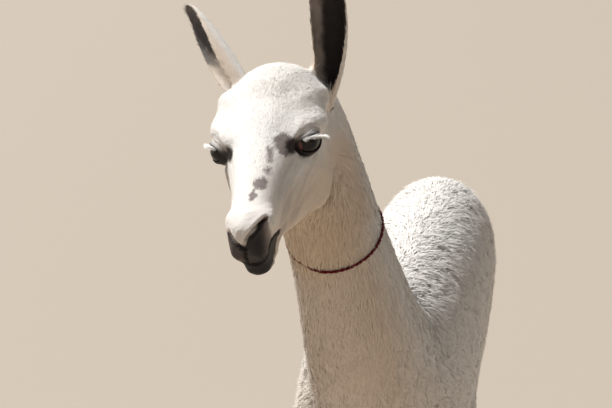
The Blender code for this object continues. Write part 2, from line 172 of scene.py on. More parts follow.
def lay_floor():
    """A round floor, level under the animal and rising gently far from it, so that no edge shows."""
    reach = np.concatenate([(0.01, 10), np.linspace(FLOOR_FLAT, FLOOR_REACH, 15)])
    height = FLOOR_RISE * (np.maximum(reach - FLOOR_FLAT, 0) / (FLOOR_REACH - FLOOR_FLAT)) ** 2
    turn = np.linspace(0, 2 * math.pi, FLOOR_SPOKES, endpoint=False)
    rings = np.stack([np.column_stack([r * np.cos(turn), r * np.sin(turn), np.full(FLOOR_SPOKES, z)])
                      for r, z in zip(reach, height)])
    start = np.arange(len(reach) - 1)[:, None] * FLOOR_SPOKES
    here = start + np.arange(FLOOR_SPOKES)
    onward = start + (np.arange(FLOOR_SPOKES) + 1) % FLOOR_SPOKES
    quads = np.stack([here + FLOOR_SPOKES, onward + FLOOR_SPOKES, onward, here], -1)
    shape = bpy.data.meshes.new("floor")
    faces = [range(FLOOR_SPOKES)] + quads.reshape(-1, 4).tolist()
    shape.from_pydata(rings.reshape(-1, 3).tolist(), [], faces)
    shape.shade_smooth()
    floor = bpy.data.objects.new("floor", shape)
    bpy.context.scene.collection.objects.link(floor)
    made, nodes, links, shader = principled("floor_paint", FLOOR_COLOUR, 0.85)
    bumps(nodes, links, shader, grain(nodes, links, 900), 0.05)
    shape.materials.append(made)


set_camera()
hang_lights()
lay_floor()


# ---- The skin ----
# One closed skin covers the whole animal, under the coat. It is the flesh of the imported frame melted
# into one surface, smoothed, and drawn in by the depth of the coat that grows on it there.
VOXEL = 0.0035
SKIN_TRIANGLES = 110000
COAT_DEPTH = {"head": 0.0024, "ear": 0.0012, "neck": 0.0065, "trunk": 0.016, "tail": 0.010, "leg": 0.006,
              "foot": 0.0025}
THIGH_DEPTH = 0.014  # the wool's depth at the top of the legs
REGIONS = tuple(COAT_DEPTH)


def arrays_of(mesh):
    """A mesh's points and its triangles, as arrays."""
    points = np.empty(len(mesh.vertices) * 3)
    mesh.vertices.foreach_get("co", points)
    mesh.calc_loop_triangles()
    triangles = np.empty(len(mesh.loop_triangles) * 3, np.int32)
    mesh.loop_triangles.foreach_get("vertices", triangles)
    return points.reshape(-1, 3), triangles.reshape(-1, 3)


def mesh_from(name, points, *faces):
    """A mesh from an array of points and arrays of faces, each array with its own number of corners."""
    mesh = bpy.data.meshes.new(name)
    mesh.vertices.add(len(points))
    mesh.vertices.foreach_set("co", np.ravel(points).astype(np.float32))
    corners = np.concatenate([f.ravel() for f in faces]).astype(np.int32)
    sizes = np.concatenate([np.full(len(f), f.shape[1]) for f in faces])
    mesh.loops.add(len(corners))
    mesh.loops.foreach_set("vertex_index", corners)
    mesh.polygons.add(len(sizes))
    mesh.polygons.foreach_set("loop_start", (np.cumsum(sizes) - sizes).astype(np.int32))
    mesh.update(calc_edges=True)
    return mesh


def shown(name, mesh):
    piece = bpy.data.objects.new(name, mesh)
    bpy.context.scene.collection.objects.link(piece)
    return piece


def evaluated(piece):
    """The mesh of a piece with its modifiers applied. The piece is removed."""
    bpy.context.view_layer.update()
    mesh = bpy.data.meshes.new_from_object(piece.evaluated_get(bpy.context.evaluated_depsgraph_get()))
    bpy.data.objects.remove(piece)
    return mesh


def edges_of(triangles):
    pairs = np.sort(np.concatenate([triangles[:, (0, 1)], triangles[:, (1, 2)], triangles[:, (2, 0)]]), 1)
    return np.unique(pairs, axis=0)


def soften(values, edges, times, share=0.5):
    """Values at a mesh's points, each moved towards its neighbours' mean by a share, some times over."""
    flat = values.reshape(len(values), -1).astype(float)
    count = np.bincount(edges.ravel(), minlength=len(flat))[:, None]
    share = np.broadcast_to(np.asarray(share, float).reshape(-1, 1), (len(flat), 1))
    for _ in range(times):
        mean = np.empty_like(flat)
        for k in range(flat.shape[1]):
            one = np.bincount(edges[:, 0], flat[edges[:, 1], k], len(flat))
            two = np.bincount(edges[:, 1], flat[edges[:, 0], k], len(flat))
            mean[:, k] = one + two
        flat += share * (mean / np.maximum(count, 1) - flat)
    return flat.reshape(values.shape)


def normals_of(points, triangles):
    """Unit normals at a mesh's points."""
    a, b, c = (points[triangles[:, k]] for k in range(3))
    facing = np.cross(b - a, c - a)
    total = np.stack([sum(np.bincount(triangles[:, k], facing[:, axis], len(points)) for k in range(3))
                      for axis in range(3)], 1)
    return total / np.maximum(np.linalg.norm(total, axis=1), 1e-12)[:, None]


def fade(values, start, end):
    """0 at start and before it, 1 at end and after it, smooth between."""
    t = np.clip((values - start) / (end - start), 0, 1)
    return t * t * (3 - 2 * t)


flesh = [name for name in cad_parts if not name.startswith(("eye", "nail", "collar"))]
parts = [arrays_of(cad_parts[name].data) for name in flesh]
starts = np.cumsum([0] + [len(points) for points, _ in parts])
flesh_points = np.concatenate([points for points, _ in parts])
flesh_triangles = np.concatenate([faces + start for (_, faces), start in zip(parts, starts)])
flesh_region = np.concatenate([np.full(len(faces), REGIONS.index(name.split("_")[0]))
                               for name, (_, faces) in zip(flesh, parts)])
flesh_tree = BVHTree.FromPolygons(flesh_points.tolist(), flesh_triangles.tolist())


def melted():
    """The flesh as one surface, finest on the head, and smoothed more on the body than on the face."""
    block = shown("melted", mesh_from("melted", flesh_points, flesh_triangles))
    remesh = block.modifiers.new("one", "REMESH")
    remesh.mode = "VOXEL"
    remesh.voxel_size = VOXEL
    points, triangles = arrays_of(evaluated(block))
    edges = edges_of(triangles)
    region = np.array([flesh_region[flesh_tree.find_nearest(p)[2]] for p in points.tolist()])
    broad = soften((region >= REGIONS.index("neck")).astype(float), edges, 12)
    ears = region == REGIONS.index("ear")
    points = soften(points, edges, 26, np.where(broad > 0.02, 0.5 * broad, 0))
    points = soften(points, edges, 7, np.where(ears, 0.26, 0.45) * (1 - broad))
    brows = np.min([np.linalg.norm((in_head(points) - middle) / (0.040, 0.020, 0.024), axis=1)
                    for middle in ((0.100, 0.055, 0.042), (0.100, -0.055, 0.042))], 0)
    points = soften(points, edges, 16, 0.5 * (1 - fade(brows, 0.6, 1.3)))
    block = shown("skin", mesh_from("skin", points, triangles))
    group = block.vertex_groups.new(name="thin")
    steps = np.round((0.22 + 0.78 * broad) * 8).astype(int)
    for step in range(1, 9):
        group.add(np.flatnonzero(steps == step).tolist(), step / 8, "REPLACE")
    thin = block.modifiers.new("thin", "DECIMATE")
    thin.ratio = SKIN_TRIANGLES / len(triangles)
    thin.vertex_group = "thin"
    thin.vertex_group_factor = 0.0001
    return evaluated(block)


def loosened(points, region):
    """Where the coat passes slowly from one region to the next: 0.5 there, 0 on face, ears and feet."""
    at = in_head(points)
    face = fade(at[:, 0], -0.01, 0.05) * (at[:, 2] > -0.13)
    legs = (region == REGIONS.index("leg")) * fade(points[:, 2], 0.36, 0.44)
    broad = np.isin(region, [REGIONS.index(name) for name in ("head", "neck", "trunk")])
    return 0.5 * np.maximum(broad * (1 - face), legs)


def coat_depths(points, edges):
    """How deep the coat is at each point, and which region each point is in."""
    region = np.array([flesh_region[flesh_tree.find_nearest(p)[2]] for p in points.tolist()])
    depth = np.array(list(COAT_DEPTH.values()))[region]
    legs = region == REGIONS.index("leg")
    depth[legs] += (THIGH_DEPTH - COAT_DEPTH["leg"]) * fade(points[legs, 2], 0.38, 0.60)
    depth = soften(depth, edges, 14)
    return soften(depth, edges, 90, loosened(points, region)), region


def bmesh_of(points, triangles):
    shape = bmesh.new()
    mesh = mesh_from("part", points, triangles)
    shape.from_mesh(mesh)
    bpy.data.meshes.remove(mesh)
    return shape


def split_finer(points, triangles, chosen):
    """The surface with the chosen triangles' edges cut in half."""
    shape = bmesh_of(points, triangles)
    shape.faces.ensure_lookup_table()
    edges = {edge for k in np.flatnonzero(chosen) for edge in shape.faces[k].edges}
    bmesh.ops.subdivide_edges(shape, edges=list(edges), cuts=1, use_grid_fill=True)
    bmesh.ops.triangulate(shape, faces=shape.faces)
    mesh = bpy.data.meshes.new("part")
    shape.to_mesh(mesh)
    shape.free()
    return arrays_of(mesh)


points, triangles = arrays_of(melted())
edges = edges_of(triangles)
depth, region = coat_depths(points, edges)
inward = -soften(normals_of(points, triangles), edges, 3)
inward /= np.maximum(np.linalg.norm(inward, axis=1), 1e-9)[:, None]
points = points + inward * depth[:, None]
points = soften(points, edges, 4, np.where(region >= REGIONS.index("neck"), 0.5, 0))
for finer_from in (0.085, 0.222):  # the face, and then the muzzle, with the eyes both times
    middles = points[triangles].mean(1)
    centre = in_head(middles)
    by_eye = np.min([np.linalg.norm(middles - eye, axis=1) for eye in eye_centres.values()], 0)
    on_face = (centre[:, 2] > -0.10) & (centre[:, 0] > finer_from)
    points, triangles = split_finer(points, triangles, on_face | (by_eye < 0.036))
    edges = edges_of(triangles)
    on_face = fade(in_head(points)[:, 0], 0.07, 0.10) * (in_head(points)[:, 2] > -0.11)
    points = soften(points, edges, 3, 0.4 * on_face)


# ---- Nostrils, lips and folds of the face ----
# The nostrils are two slits in a V, whose upper rims hang over them. The upper lip is cleft into two
# pads, and the dark lower lip shows under them. All are pressed into the skin along lines in the
# head's frame: the nostrils and the mouth are given for each side, the folds and swellings for the
# left side and mirrored.
NOSTRILS = {
    1: ((0.2838, -0.0007, -0.0142), (0.2856, 0.0034, -0.0039), (0.2797, 0.0127, 0.0035),
        (0.2700, 0.0180, 0.0064), (0.2606, 0.0222, 0.0068)),
    -1: ((0.2840, -0.0030, -0.0140), (0.2840, -0.0080, -0.0125), (0.2800, -0.0140, -0.0075),
         (0.2720, -0.0190, -0.0030)),
}
MOUTHS = {
    1: ((0.2750, -0.0030, -0.0396), (0.2768, 0.0050, -0.0402), (0.2755, 0.0110, -0.0380),
        (0.2728, 0.0165, -0.0335), (0.2680, 0.0205, -0.0265), (0.2600, 0.0228, -0.0215),
        (0.2500, 0.0245, -0.0225), (0.2410, 0.0257, -0.0258), (0.2300, 0.0268, -0.0268)),
    -1: ((0.2750, -0.0030, -0.0396), (0.2755, -0.0075, -0.0388), (0.2700, -0.0145, -0.0345),
         (0.2620, -0.0195, -0.0300), (0.2520, -0.0230, -0.0270), (0.2400, -0.0250, -0.0250),
         (0.2290, -0.0265, -0.0250)),
}
FOLDS = (
    # a line on the left, how deep it is pressed, and how wide: under the eye, jaw, inner corner, lip
    (((0.140, 0.0460, 0.0020), (0.180, 0.0360, -0.0080), (0.222, 0.0290, -0.0150)), 0.0011, 0.0042),
    (((0.118, 0.0540, -0.0220), (0.165, 0.0420, -0.0330), (0.212, 0.0310, -0.0340)), 0.0013, 0.0050),
    (((0.150, 0.0360, 0.0240), (0.172, 0.0280, 0.0170), (0.196, 0.0250, 0.0110)), 0.0012, 0.0034),
    (((0.246, 0.0250, -0.0300), (0.236, 0.0260, -0.0350), (0.226, 0.0250, -0.0380)), 0.0008, 0.0020),
)
SWELLINGS = (
    # middle, half sizes, height: wing of the nostril, pad of the upper lip, lower lip and chin
    ((0.262, 0.0180, 0.0120), (0.014, 0.009, 0.008), 0.0022),
    ((0.276, 0.0110, -0.0250), (0.012, 0.0075, 0.010), 0.0022),
    ((0.262, 0.0000, -0.0560), (0.022, 0.020, 0.010), 0.0040),
)
CLEFT = ((0.2845, -0.0010, -0.0170), (0.2845, -0.0018, -0.0280), (0.2760, -0.0030, -0.0390))


def both_sides(line):
    return [np.array(line) * (1, side, 1) for side in (1, -1)]


def on_skin(line):
    """A line of the head's frame laid on the skin."""
    tree = BVHTree.FromPolygons(points.tolist(), triangles.tolist())
    return in_head(np.array([tree.find_nearest(p)[0] for p in from_head(line).tolist()]))


def distance_to(places, line):
    """How far places are from a line of straight stretches, and how far along it, from 0 to 1."""
    nearest = np.full(len(places), 9.0)
    share = np.zeros(len(places))
    for k, (a, b) in enumerate(zip(line, line[1:])):
        t = np.clip((places - a) @ (b - a) / max((b - a) @ (b - a), 1e-12), 0, 1)
        far = np.linalg.norm(places - a - t[:, None] * (b - a), axis=1)
        share = np.where(far < nearest, (k + t) / (len(line) - 1), share)
        nearest = np.minimum(far, nearest)
    return nearest, share


def press(line, deep, width, lip=0.0, taper=0.0):
    """Presses a groove into the skin along a line, with a lip swelling on both of its sides."""
    places = in_head(points)
    near = np.flatnonzero(places[:, 0] > 0.05)
    far, share = distance_to(places[near], line)
    ends = 1 - taper * (2 * np.abs(share - 0.5)) ** 3
    push = -deep * np.exp(-((far / width) ** 2)) + lip * np.exp(-(((far - 2.4 * width) / width) ** 2))
    facing = normals_of(points, triangles)
    points[near] += facing[near] * (push * ends)[:, None]


def swell(centre, radii, height):
    """Raises a soft round swelling on both sides of the head."""
    places = in_head(points)
    middles = both_sides([centre])[:2 if centre[1] else 1]
    push = sum(height * np.exp(-(((places - middle) / radii) ** 2).sum(1)) for middle in middles)
    points[:] = points + normals_of(points, triangles) * push[:, None]


for centre, radii, height in SWELLINGS:
    swell(centre, radii, height)
nostrils = [on_skin(NOSTRILS[side]) for side in (1, -1)]
mouths = [on_skin(MOUTHS[side]) for side in (1, -1)]
cleft = on_skin(CLEFT)
for line in nostrils:
    press(line, 0.0075, 0.0021, 0.0007, 0.35)
for line in mouths:
    press(line, 0.0042, 0.0015, 0.0006, 0.5)
press(cleft, 0.0030, 0.0013, 0.0004)
for line, deep, width in FOLDS:
    for side_line in both_sides(line):
        press(on_skin(side_line), deep, width, 0.0, 0.8)


# ---- Eyelids ----
# Each pair of lids is a smooth patch of skin round the eyeball, set into a hole in the face. Its rings
# run from the face in to the wet rim, with a crease above the upper lid and a soft one below.
EYE_TURNS = {1: 42, -1: 60}
LID_WALL = 0.0017
OPENING = (0.0158, 0.0101, 0.0093)  # half length, rise and drop
SOCKET = (0.0262, 0.0215)
LID_SPOKES, LID_ROWS = 72, 15
LID_FOLDS = (
    # how far it stands out, how far in from the face it is, how wide it is, and whether it is above
    (-0.0019, 0.60, 0.07, True),
    (-0.0008, 0.58, 0.09, False),
    (0.0010, 0.84, 0.12, True),
)
WET_RIM = ((0.0003, 0.0012), (0.0005, 0.0006), (0.0004, -0.0002))  # steps in, and off the eyeball


def eye_axes(side):
    """Rows that point out between the lids, towards the outer corner, and up."""
    turn = math.radians(EYE_TURNS[side])
    c, s = math.cos(turn), math.sin(turn)
    rows = ((c, side * s, 0), (-s, side * c, 0), (0, 0, 1))
    return np.array(rows) @ head_axes


def open_rim(shape, centre, axes):
    """The corners of the socket's rim in order, after every face that pinches the rim is removed."""
    def open_edges(corner):
        return [edge for edge in corner.link_edges if edge.is_boundary]

    while True:
        near = [corner for corner in shape.verts if (corner.co - Vector(centre)).length < 0.05]
        pinched = [corner for corner in near if len(open_edges(corner)) > 2]
        if not pinched:
            break
        faces = {face for corner in pinched for face in corner.link_faces}
        bmesh.ops.delete(shape, geom=list(faces), context="FACES")
    rims = []
    seen = set()
    for first in near:
        rim, corner = [], first
        while corner is not None and corner not in seen and open_edges(corner):
            seen.add(corner)
            rim.append(corner)
            onward = [edge.other_vert(corner) for edge in open_edges(corner)]
            corner = next((other for other in onward if other not in seen), None)
        rims.append(rim)
    rim = max(rims, key=len)
    local = (np.array([tuple(corner.co) for corner in rim]) - centre) @ axes.T
    angles = np.unwrap(np.arctan2(local[:, 2] / SOCKET[1], local[:, 1] / SOCKET[0]))
    if angles[-1] < angles[0]:
        rim, angles = rim[::-1], angles[::-1]
    first = int(np.argmin(np.abs(np.angle(np.exp(1j * angles)))))
    rim = rim[first:] + rim[:first]
    angles = np.concatenate([angles[first:], angles[:first] + 2 * math.pi]) - angles[first]
    return rim, np.maximum.accumulate(angles)


def stitch(shape, outer, outer_angles, inner, inner_angles, flip):
    """Joins two closed rows of corners with triangles."""
    a, b = 0, 0
    outer_angles = np.append(outer_angles, 2 * math.pi)
    inner_angles = np.append(inner_angles, 2 * math.pi)
    while a < len(outer) or b < len(inner):
        here, there = outer[a % len(outer)], inner[b % len(inner)]
        if b >= len(inner) or (a < len(outer) and outer_angles[a + 1] <= inner_angles[b + 1]):
            a += 1
            corners = (here, outer[a % len(outer)], there)
        else:
            b += 1
            corners = (here, inner[b % len(inner)], there)
        shape.faces.new(corners[::-1] if flip else corners)


def cut_socket(shape, centre, axes):
    """Removes the skin in front of an eyeball, and the hollow that the flesh has round it."""
    doomed = []
    for face in shape.faces:
        out = np.array(face.calc_center_median()) - centre
        x, y, z = axes @ out
        ball = np.linalg.norm(out)
        hollow = ball < EYE_RADIUS + 0.006 and np.array(face.normal) @ out < 0
        front = x > -0.012 and (y / SOCKET[0]) ** 2 + (z / SOCKET[1]) ** 2 < 1 and ball < 0.05
        if hollow or front:
            doomed.append(face)
    bmesh.ops.delete(shape, geom=doomed, context="FACES")


def over_ball(yz, radius):
    """How far out a ball round the eye's middle reaches at places across the eye."""
    return radius * np.sqrt(np.maximum(0, 1 - (yz ** 2).sum(1) / radius ** 2))


def lid_rings(centre, axes, turn, tree):
    """Rings of places in the eye's own directions, from the face in to the wet rim."""
    c, s = np.cos(turn), np.sin(turn)
    outer = np.stack([c * (SOCKET[0] - 0.0016), s * (SOCKET[1] - 0.0016)], 1)
    almond = np.stack([c * OPENING[0], s * np.where(s > 0, OPENING[1], OPENING[2]) * (1 - 0.16 * c)], 1)
    almond[:, 1] -= 0.10 * almond[:, 0]
    start = []
    for y, z in outer:
        place = centre + axes.T @ (0.06, y, z)
        hit = tree.ray_cast(place.tolist(), (-axes[0]).tolist())[0]
        start.append(axes[0] @ (np.array(hit) - centre))
    start = np.array(start)
    for _ in range(4):
        start = (np.roll(start, 1) + 2 * start + np.roll(start, -1)) / 4
    rings = []
    upper = fade(s, 0.0, 0.5)
    for t in np.linspace(0, 1, LID_ROWS):
        yz = outer + (almond - outer) * t
        blend = fade(np.full(LID_SPOKES, t), 0.0, 0.78)
        x = start + (over_ball(yz, EYE_RADIUS + LID_WALL) - start) * blend
        for height, middle, width, above in LID_FOLDS:
            x += height * (upper if above else 1 - upper) * math.exp(-(((t - middle) / width) ** 2))
        rings.append(np.column_stack([x, yz]))
    for inset, wall in WET_RIM:
        yz = almond * (1 - inset / 0.014)
        rings.append(np.column_stack([over_ball(yz, EYE_RADIUS + wall), yz]))
    return rings


def lids(shape, side, tree):
    """Cuts the socket's hole in the skin and fills it with the lids' rings."""
    axes, centre = eye_axes(side), eye_centres[side]
    cut_socket(shape, centre, axes)
    rim, rim_angles = open_rim(shape, centre, axes)
    turn = np.linspace(0, 2 * math.pi, LID_SPOKES, endpoint=False)
    rings = lid_rings(centre, axes, turn, tree)
    rows = [[shape.verts.new(centre + axes.T @ p) for p in ring] for ring in rings]
    for low, high in zip(rows, rows[1:]):
        for k in range(LID_SPOKES):
            n = (k + 1) % LID_SPOKES
            corners = (low[k], low[n], high[n], high[k])
            shape.faces.new(corners if side > 0 else corners[::-1])
    stitch(shape, rim, rim_angles, rows[0], turn, side < 0)


def largest_body(points, triangles):
    """The largest connected piece of a surface, without its loose points."""
    label = np.arange(len(points))
    edges = edges_of(triangles)
    while True:
        low = np.minimum(label[edges[:, 0]], label[edges[:, 1]])
        new = label.copy()
        np.minimum.at(new, edges[:, 0], low)
        np.minimum.at(new, edges[:, 1], low)
        new = new[new]
        if (new == label).all():
            break
        label = new
    body = np.bincount(label[triangles[:, 0]], minlength=len(points)).argmax()
    kept = triangles[label[triangles[:, 0]] == body]
    used, remade = np.unique(kept, return_inverse=True)
    return points[used], remade.reshape(-1, 3).astype(np.int32)


points, triangles = largest_body(points, triangles)
shape = bmesh_of(points, triangles)
tree = BVHTree.FromBMesh(shape)
for side, hand in SIDES:
    lids(shape, side, tree)
bmesh.ops.triangulate(shape, faces=shape.faces)
mesh = bpy.data.meshes.new("skin")
shape.to_mesh(mesh)
shape.free()
points, triangles = arrays_of(mesh)
edges = edges_of(triangles)
by_rim = np.zeros(len(points), bool)
for side, hand in SIDES:
    local = (points - eye_centres[side]) @ eye_axes(side).T
    ring = np.sqrt((local[:, 1] / SOCKET[0]) ** 2 + (local[:, 2] / SOCKET[1]) ** 2)
    by_rim |= (np.abs(ring - 1) < 0.22) & (local[:, 0] > -0.01) & (np.linalg.norm(local, axis=1) < 0.045)
points = soften(points, edges, 8, 0.5 * by_rim)
points, triangles = largest_body(points, triangles)
edges = edges_of(triangles)
normals = normals_of(points, triangles)
depth, region = coat_depths(points, edges)


# ---- Markings ----
# Skin and coat share one set of markings: white, warmer on the cheeks and throat partly as painted
# shade and painted warm bounce light, with dark skin at the nose, lips and eyes, grey-brown spots on
# the bridge of the nose, and dark inside the ears. Painted shade darkens the front of the neck, the
# cheeks' folds, the creases over the eyes, the chin, the muzzle, the nostrils' depth and the rims over
# them, and the far side of the left ear's hollow.
WHITE = (0.90, 0.885, 0.86)
CREAM = (0.80, 0.675, 0.555)
TAN = (0.76, 0.60, 0.42)
GREIGE = (0.50, 0.43, 0.39)
BLACK_SKIN = (0.018, 0.015, 0.016)
BROWN_SKIN = (0.090, 0.066, 0.058)
SPOT = (0.23, 0.185, 0.175)
PINK = (0.46, 0.22, 0.17)
# Near black for the left ear's hollow: its dark skin with painted shadow.
EAR_SKIN_AND_SHADE = (0.034, 0.027, 0.025)
EAR_GREY = (0.13, 0.12, 0.125)
SPOTS = (
    # middle, half sizes, softness, strength
    ((0.1530, 0.0265, 0.0370), (0.0140, 0.0120, 0.014), 0.55, 1.0),
    ((0.1710, 0.0140, 0.0370), (0.0170, 0.0060, 0.012), 0.70, 0.75),
    ((0.2164, 0.0092, 0.0247), (0.0100, 0.0085, 0.012), 0.50, 1.0),
    ((0.2330, 0.0030, 0.0200), (0.0090, 0.0050, 0.010), 0.60, 0.9),
    ((0.2000, 0.0150, 0.0290), (0.0120, 0.0060, 0.010), 0.60, 0.6),
)
INNER_CORNERS = {1: (0.147, 0.0365, 0.0310), -1: (0.148, -0.0410, 0.0260)}  # dark skin beside the eyes
# Lines of painted shade in the creases over the upper lids.
LID_CREASE_SHADES = ((0.0158, 0.05, 0.85), (0.0192, 0.10, 0.65), (0.0230, 0.16, 0.50))  # rise, slope, strength
LIP_ANGLES = (-1.6, -0.8, 0.0, 0.4, 1.2, 1.7)  # round the mouth, in radians, from 0 in front to the left
LIP_DEPTHS = (0.005, 0.009, 0.014, 0.024, 0.024, 0.008)  # how far down the dark of the lower lip goes there
EAR_LENGTH = 0.196


def mottle(places, size, seed=0):
    """Soft random values from 0 to 1 that change over the given size."""
    cells = places / size + seed * 17.3
    low = np.floor(cells)
    t = cells - low
    t = t * t * (3 - 2 * t)
    total = np.zeros(len(places))
    for corner in product((0, 1), repeat=3):
        key = (low + corner) @ (12.9898, 78.233, 37.719)
        value = np.abs(np.sin(key) * 43758.5453) % 1
        total += value * np.prod(np.where(corner, t, 1 - t), axis=1)
    return total


def blot(places, middle, radii, soft=0.35):
    """1 inside an oval patch, fading to 0 outside it."""
    return 1 - fade(np.linalg.norm((places - middle) / radii, axis=1), 1 - soft, 1 + soft)


def unit(rows):
    return rows / np.maximum(np.linalg.norm(rows, axis=1), 1e-9)[:, None]


def ear_place(hand):
    """An ear's root, its axis from root to tip, and the way that its hollow faces."""
    mesh_points, mesh_triangles = arrays_of(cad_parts["ear_" + hand].data)
    far = np.linalg.norm(mesh_points - head_origin, axis=1)
    root = mesh_points[far < np.quantile(far, 0.12)].mean(0)
    tip = mesh_points[far > np.quantile(far, 0.98)].mean(0)
    length = np.linalg.norm(tip - root)
    axis = (tip - root) / length
    a, b, c = (mesh_points[mesh_triangles[:, k]] for k in range(3))
    middle = (a + b + c) / 3
    share = (middle - root) @ axis / length
    band = (share > 0.45) & (share < 0.75)
    wall = middle[band]
    inward = np.cross(b - a, c - a)[band]
    toward = ((wall.mean(0) - wall) * inward).sum(1) > 0
    opening = inward[toward].sum(0)
    opening -= axis * (axis @ opening)
    return root, axis, opening / np.linalg.norm(opening)


def in_ear(places, side):
    """How far along an ear places are, as a share of its length, and the way to them from its axis."""
    root, axis, opening = ear_places[side]
    out = places - root
    return out @ axis / EAR_LENGTH, out - axis * (out @ axis)[:, None]


def ear_core(side, hand):
    """Where the middle of an ear's hollow is at shares of its length, from the line of its axis."""
    share, across = in_ear(arrays_of(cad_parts["ear_" + hand].data)[0], side)
    stops = np.linspace(0.0, 1.0, 9)
    middles = []
    for stop in stops:
        weight = np.exp(-(((share - stop) / 0.075) ** 2)) + 1e-9
        forward = np.interp(stop, (0.1, 0.5, 0.9), (0.004, 0.009, 0.008))
        middles.append(weight @ across / weight.sum() + ear_places[side][2] * forward)
    return stops, np.array(middles)


ear_places = {side: ear_place(hand) for side, hand in SIDES}
ear_cores = {side: ear_core(side, hand) for side, hand in SIDES}


def ear_insides(places, facing):
    """How much a place is on the inner wall of an ear, how far along the ear it is, and which ear."""
    inside = np.zeros(len(places))
    along = np.zeros(len(places))
    whose = np.zeros(len(places))
    for side, (stops, middles) in ear_cores.items():
        share, across = in_ear(places, side)
        near = (share > -0.3) & (share < 1.2) & (np.linalg.norm(across, axis=1) < 0.05)
        middle = np.stack([np.interp(share, stops, middles[:, k]) for k in range(3)], 1)
        radial = unit(across - middle)
        wall = near * fade(-(radial * facing).sum(1), 0.15, 0.60) * (1 - fade(share, 0.88, 0.99))
        along = np.where(near, share, along)
        whose = np.where(near, side, whose)
        inside = np.maximum(inside, wall)
    return inside, along, whose


def ear_shadow_side(places):
    """Where painted shadow falls in each ear's hollow: 1 on the side farther from the crown, 0 on the near
    side.
    """
    far = np.zeros(len(places))
    for side, (root, axis, opening) in ear_places.items():
        outer = np.cross(axis, opening)
        outer *= side * np.sign(outer @ head_axes[1])
        out = places - root
        mine = np.linalg.norm(np.cross(out, axis), axis=1) < 0.05
        far = np.maximum(far, mine * fade(out @ outer, -0.014, 0.006))
    return far


def mouth_angle(at):
    """How far round the mouth a place is, in radians, from 0 in front to the left."""
    return np.arctan2(at[:, 1], at[:, 0] - 0.235)


def mouth_height(at):
    """The height of the mouth's line at places round the muzzle."""
    line = np.concatenate([np.array(MOUTHS[-1])[:0:-1], MOUTHS[1]])
    return np.interp(mouth_angle(at), mouth_angle(line), line[:, 2])


def distance_pair(at, lines):
    """How far places are from the nearer of two lines, and how far along it."""
    (one, one_share), (two, two_share) = (distance_to(at, line) for line in lines)
    return np.minimum(one, two), np.where(one < two, one_share, two_share)


class Marks:
    """The colours of some places on the animal, painted one shade over another."""

    def __init__(self, places, facing, kind):
        self.places, self.facing, self.kind = places, facing, kind
        self.at = in_head(places)
        self.on_head = kind == REGIONS.index("head")
        self.colour = np.tile(np.array(WHITE), (len(places), 1))
        self.bare = np.zeros(len(places))

    def paint(self, shade, amount):
        amount = np.clip(amount, 0, 1)[:, None]
        self.colour += (np.array(shade) - self.colour) * amount

    def strip(self, amount):
        """Thins the coat there."""
        self.bare = np.maximum(self.bare, amount)


def wool_shades(marks):
    """White wool, warmer under the head partly in its own colour and partly as painted shade, with painted
    shade down the front of the neck and painted warm bounce light at the throat.
    """
    at, places = marks.at, marks.places
    # Cream under the middle of the head: partly the coat's own warmth, partly painted shade of the underside
    # and cheeks.
    head_part = fade(at[:, 0], -0.02, 0.03) * (at[:, 2] > -0.13)
    marks.paint(CREAM, 0.85 * head_part * fade(-at[:, 2], -0.010, 0.035))
    marks.paint(CREAM, 0.30 * mottle(places, 0.09, 1))
    # Painted shade: wool that faces forward on the neck is painted cream, as if it were in shade.
    front = fade(-marks.facing[:, 1], 0.0, 0.7) * fade(places[:, 2], 0.6, 1.0)
    marks.paint(CREAM, 0.90 * front * (1 - marks.on_head))
    # Painted warm bounce light and shade: tan under the jaw and at the throat, broken up by a mottle.
    throat = blot(at, (0.060, 0.0, -0.125), (0.085, 0.075, 0.070), 0.5)
    marks.paint(TAN, 0.75 * throat * (0.4 + 0.8 * mottle(places, 0.03, 4)))


def bridge_spots(marks):
    """A brown patch from the left eye's inner corner on to the bridge of the nose, and spots below it."""
    patch = np.max([strength * blot(marks.at, middle, radii, soft)
                    for middle, radii, soft, strength in SPOTS], 0)
    speckle = 0.55 * mottle(marks.places, 0.007, 2) + 0.45 * mottle(marks.places, 0.0026, 3)
    ragged = patch + 1.3 * (speckle - 0.5) * fade(patch, 0.05, 0.4)
    marks.paint(SPOT, 0.92 * marks.on_head * fade(ragged, 0.35, 0.75))


def cheek_fold_shade(marks):
    """Painted shade of soft folds on the cheek, running down from the eye to the corner of the mouth."""
    at = marks.at
    along = at @ (0.86, 0.0, -0.51)
    over = at @ (0.51, 0.0, 0.86)
    streaks = mottle(np.column_stack([along / 0.045, over / 0.0065, 0.5 * np.sign(at[:, 1])]), 1.0, 7)
    cheek = fade(np.abs(at[:, 1]), 0.018, 0.030) * (1 - fade(at[:, 2], 0.015, 0.035))
    cheek *= fade(at[:, 0], 0.09, 0.13) * (1 - fade(at[:, 0], 0.23, 0.26))
    # Painted shade: grey streaks where the cheek's folds lie in shade.
    marks.paint(GREIGE, 0.55 * marks.on_head * cheek * fade(streaks, 0.45, 0.85))


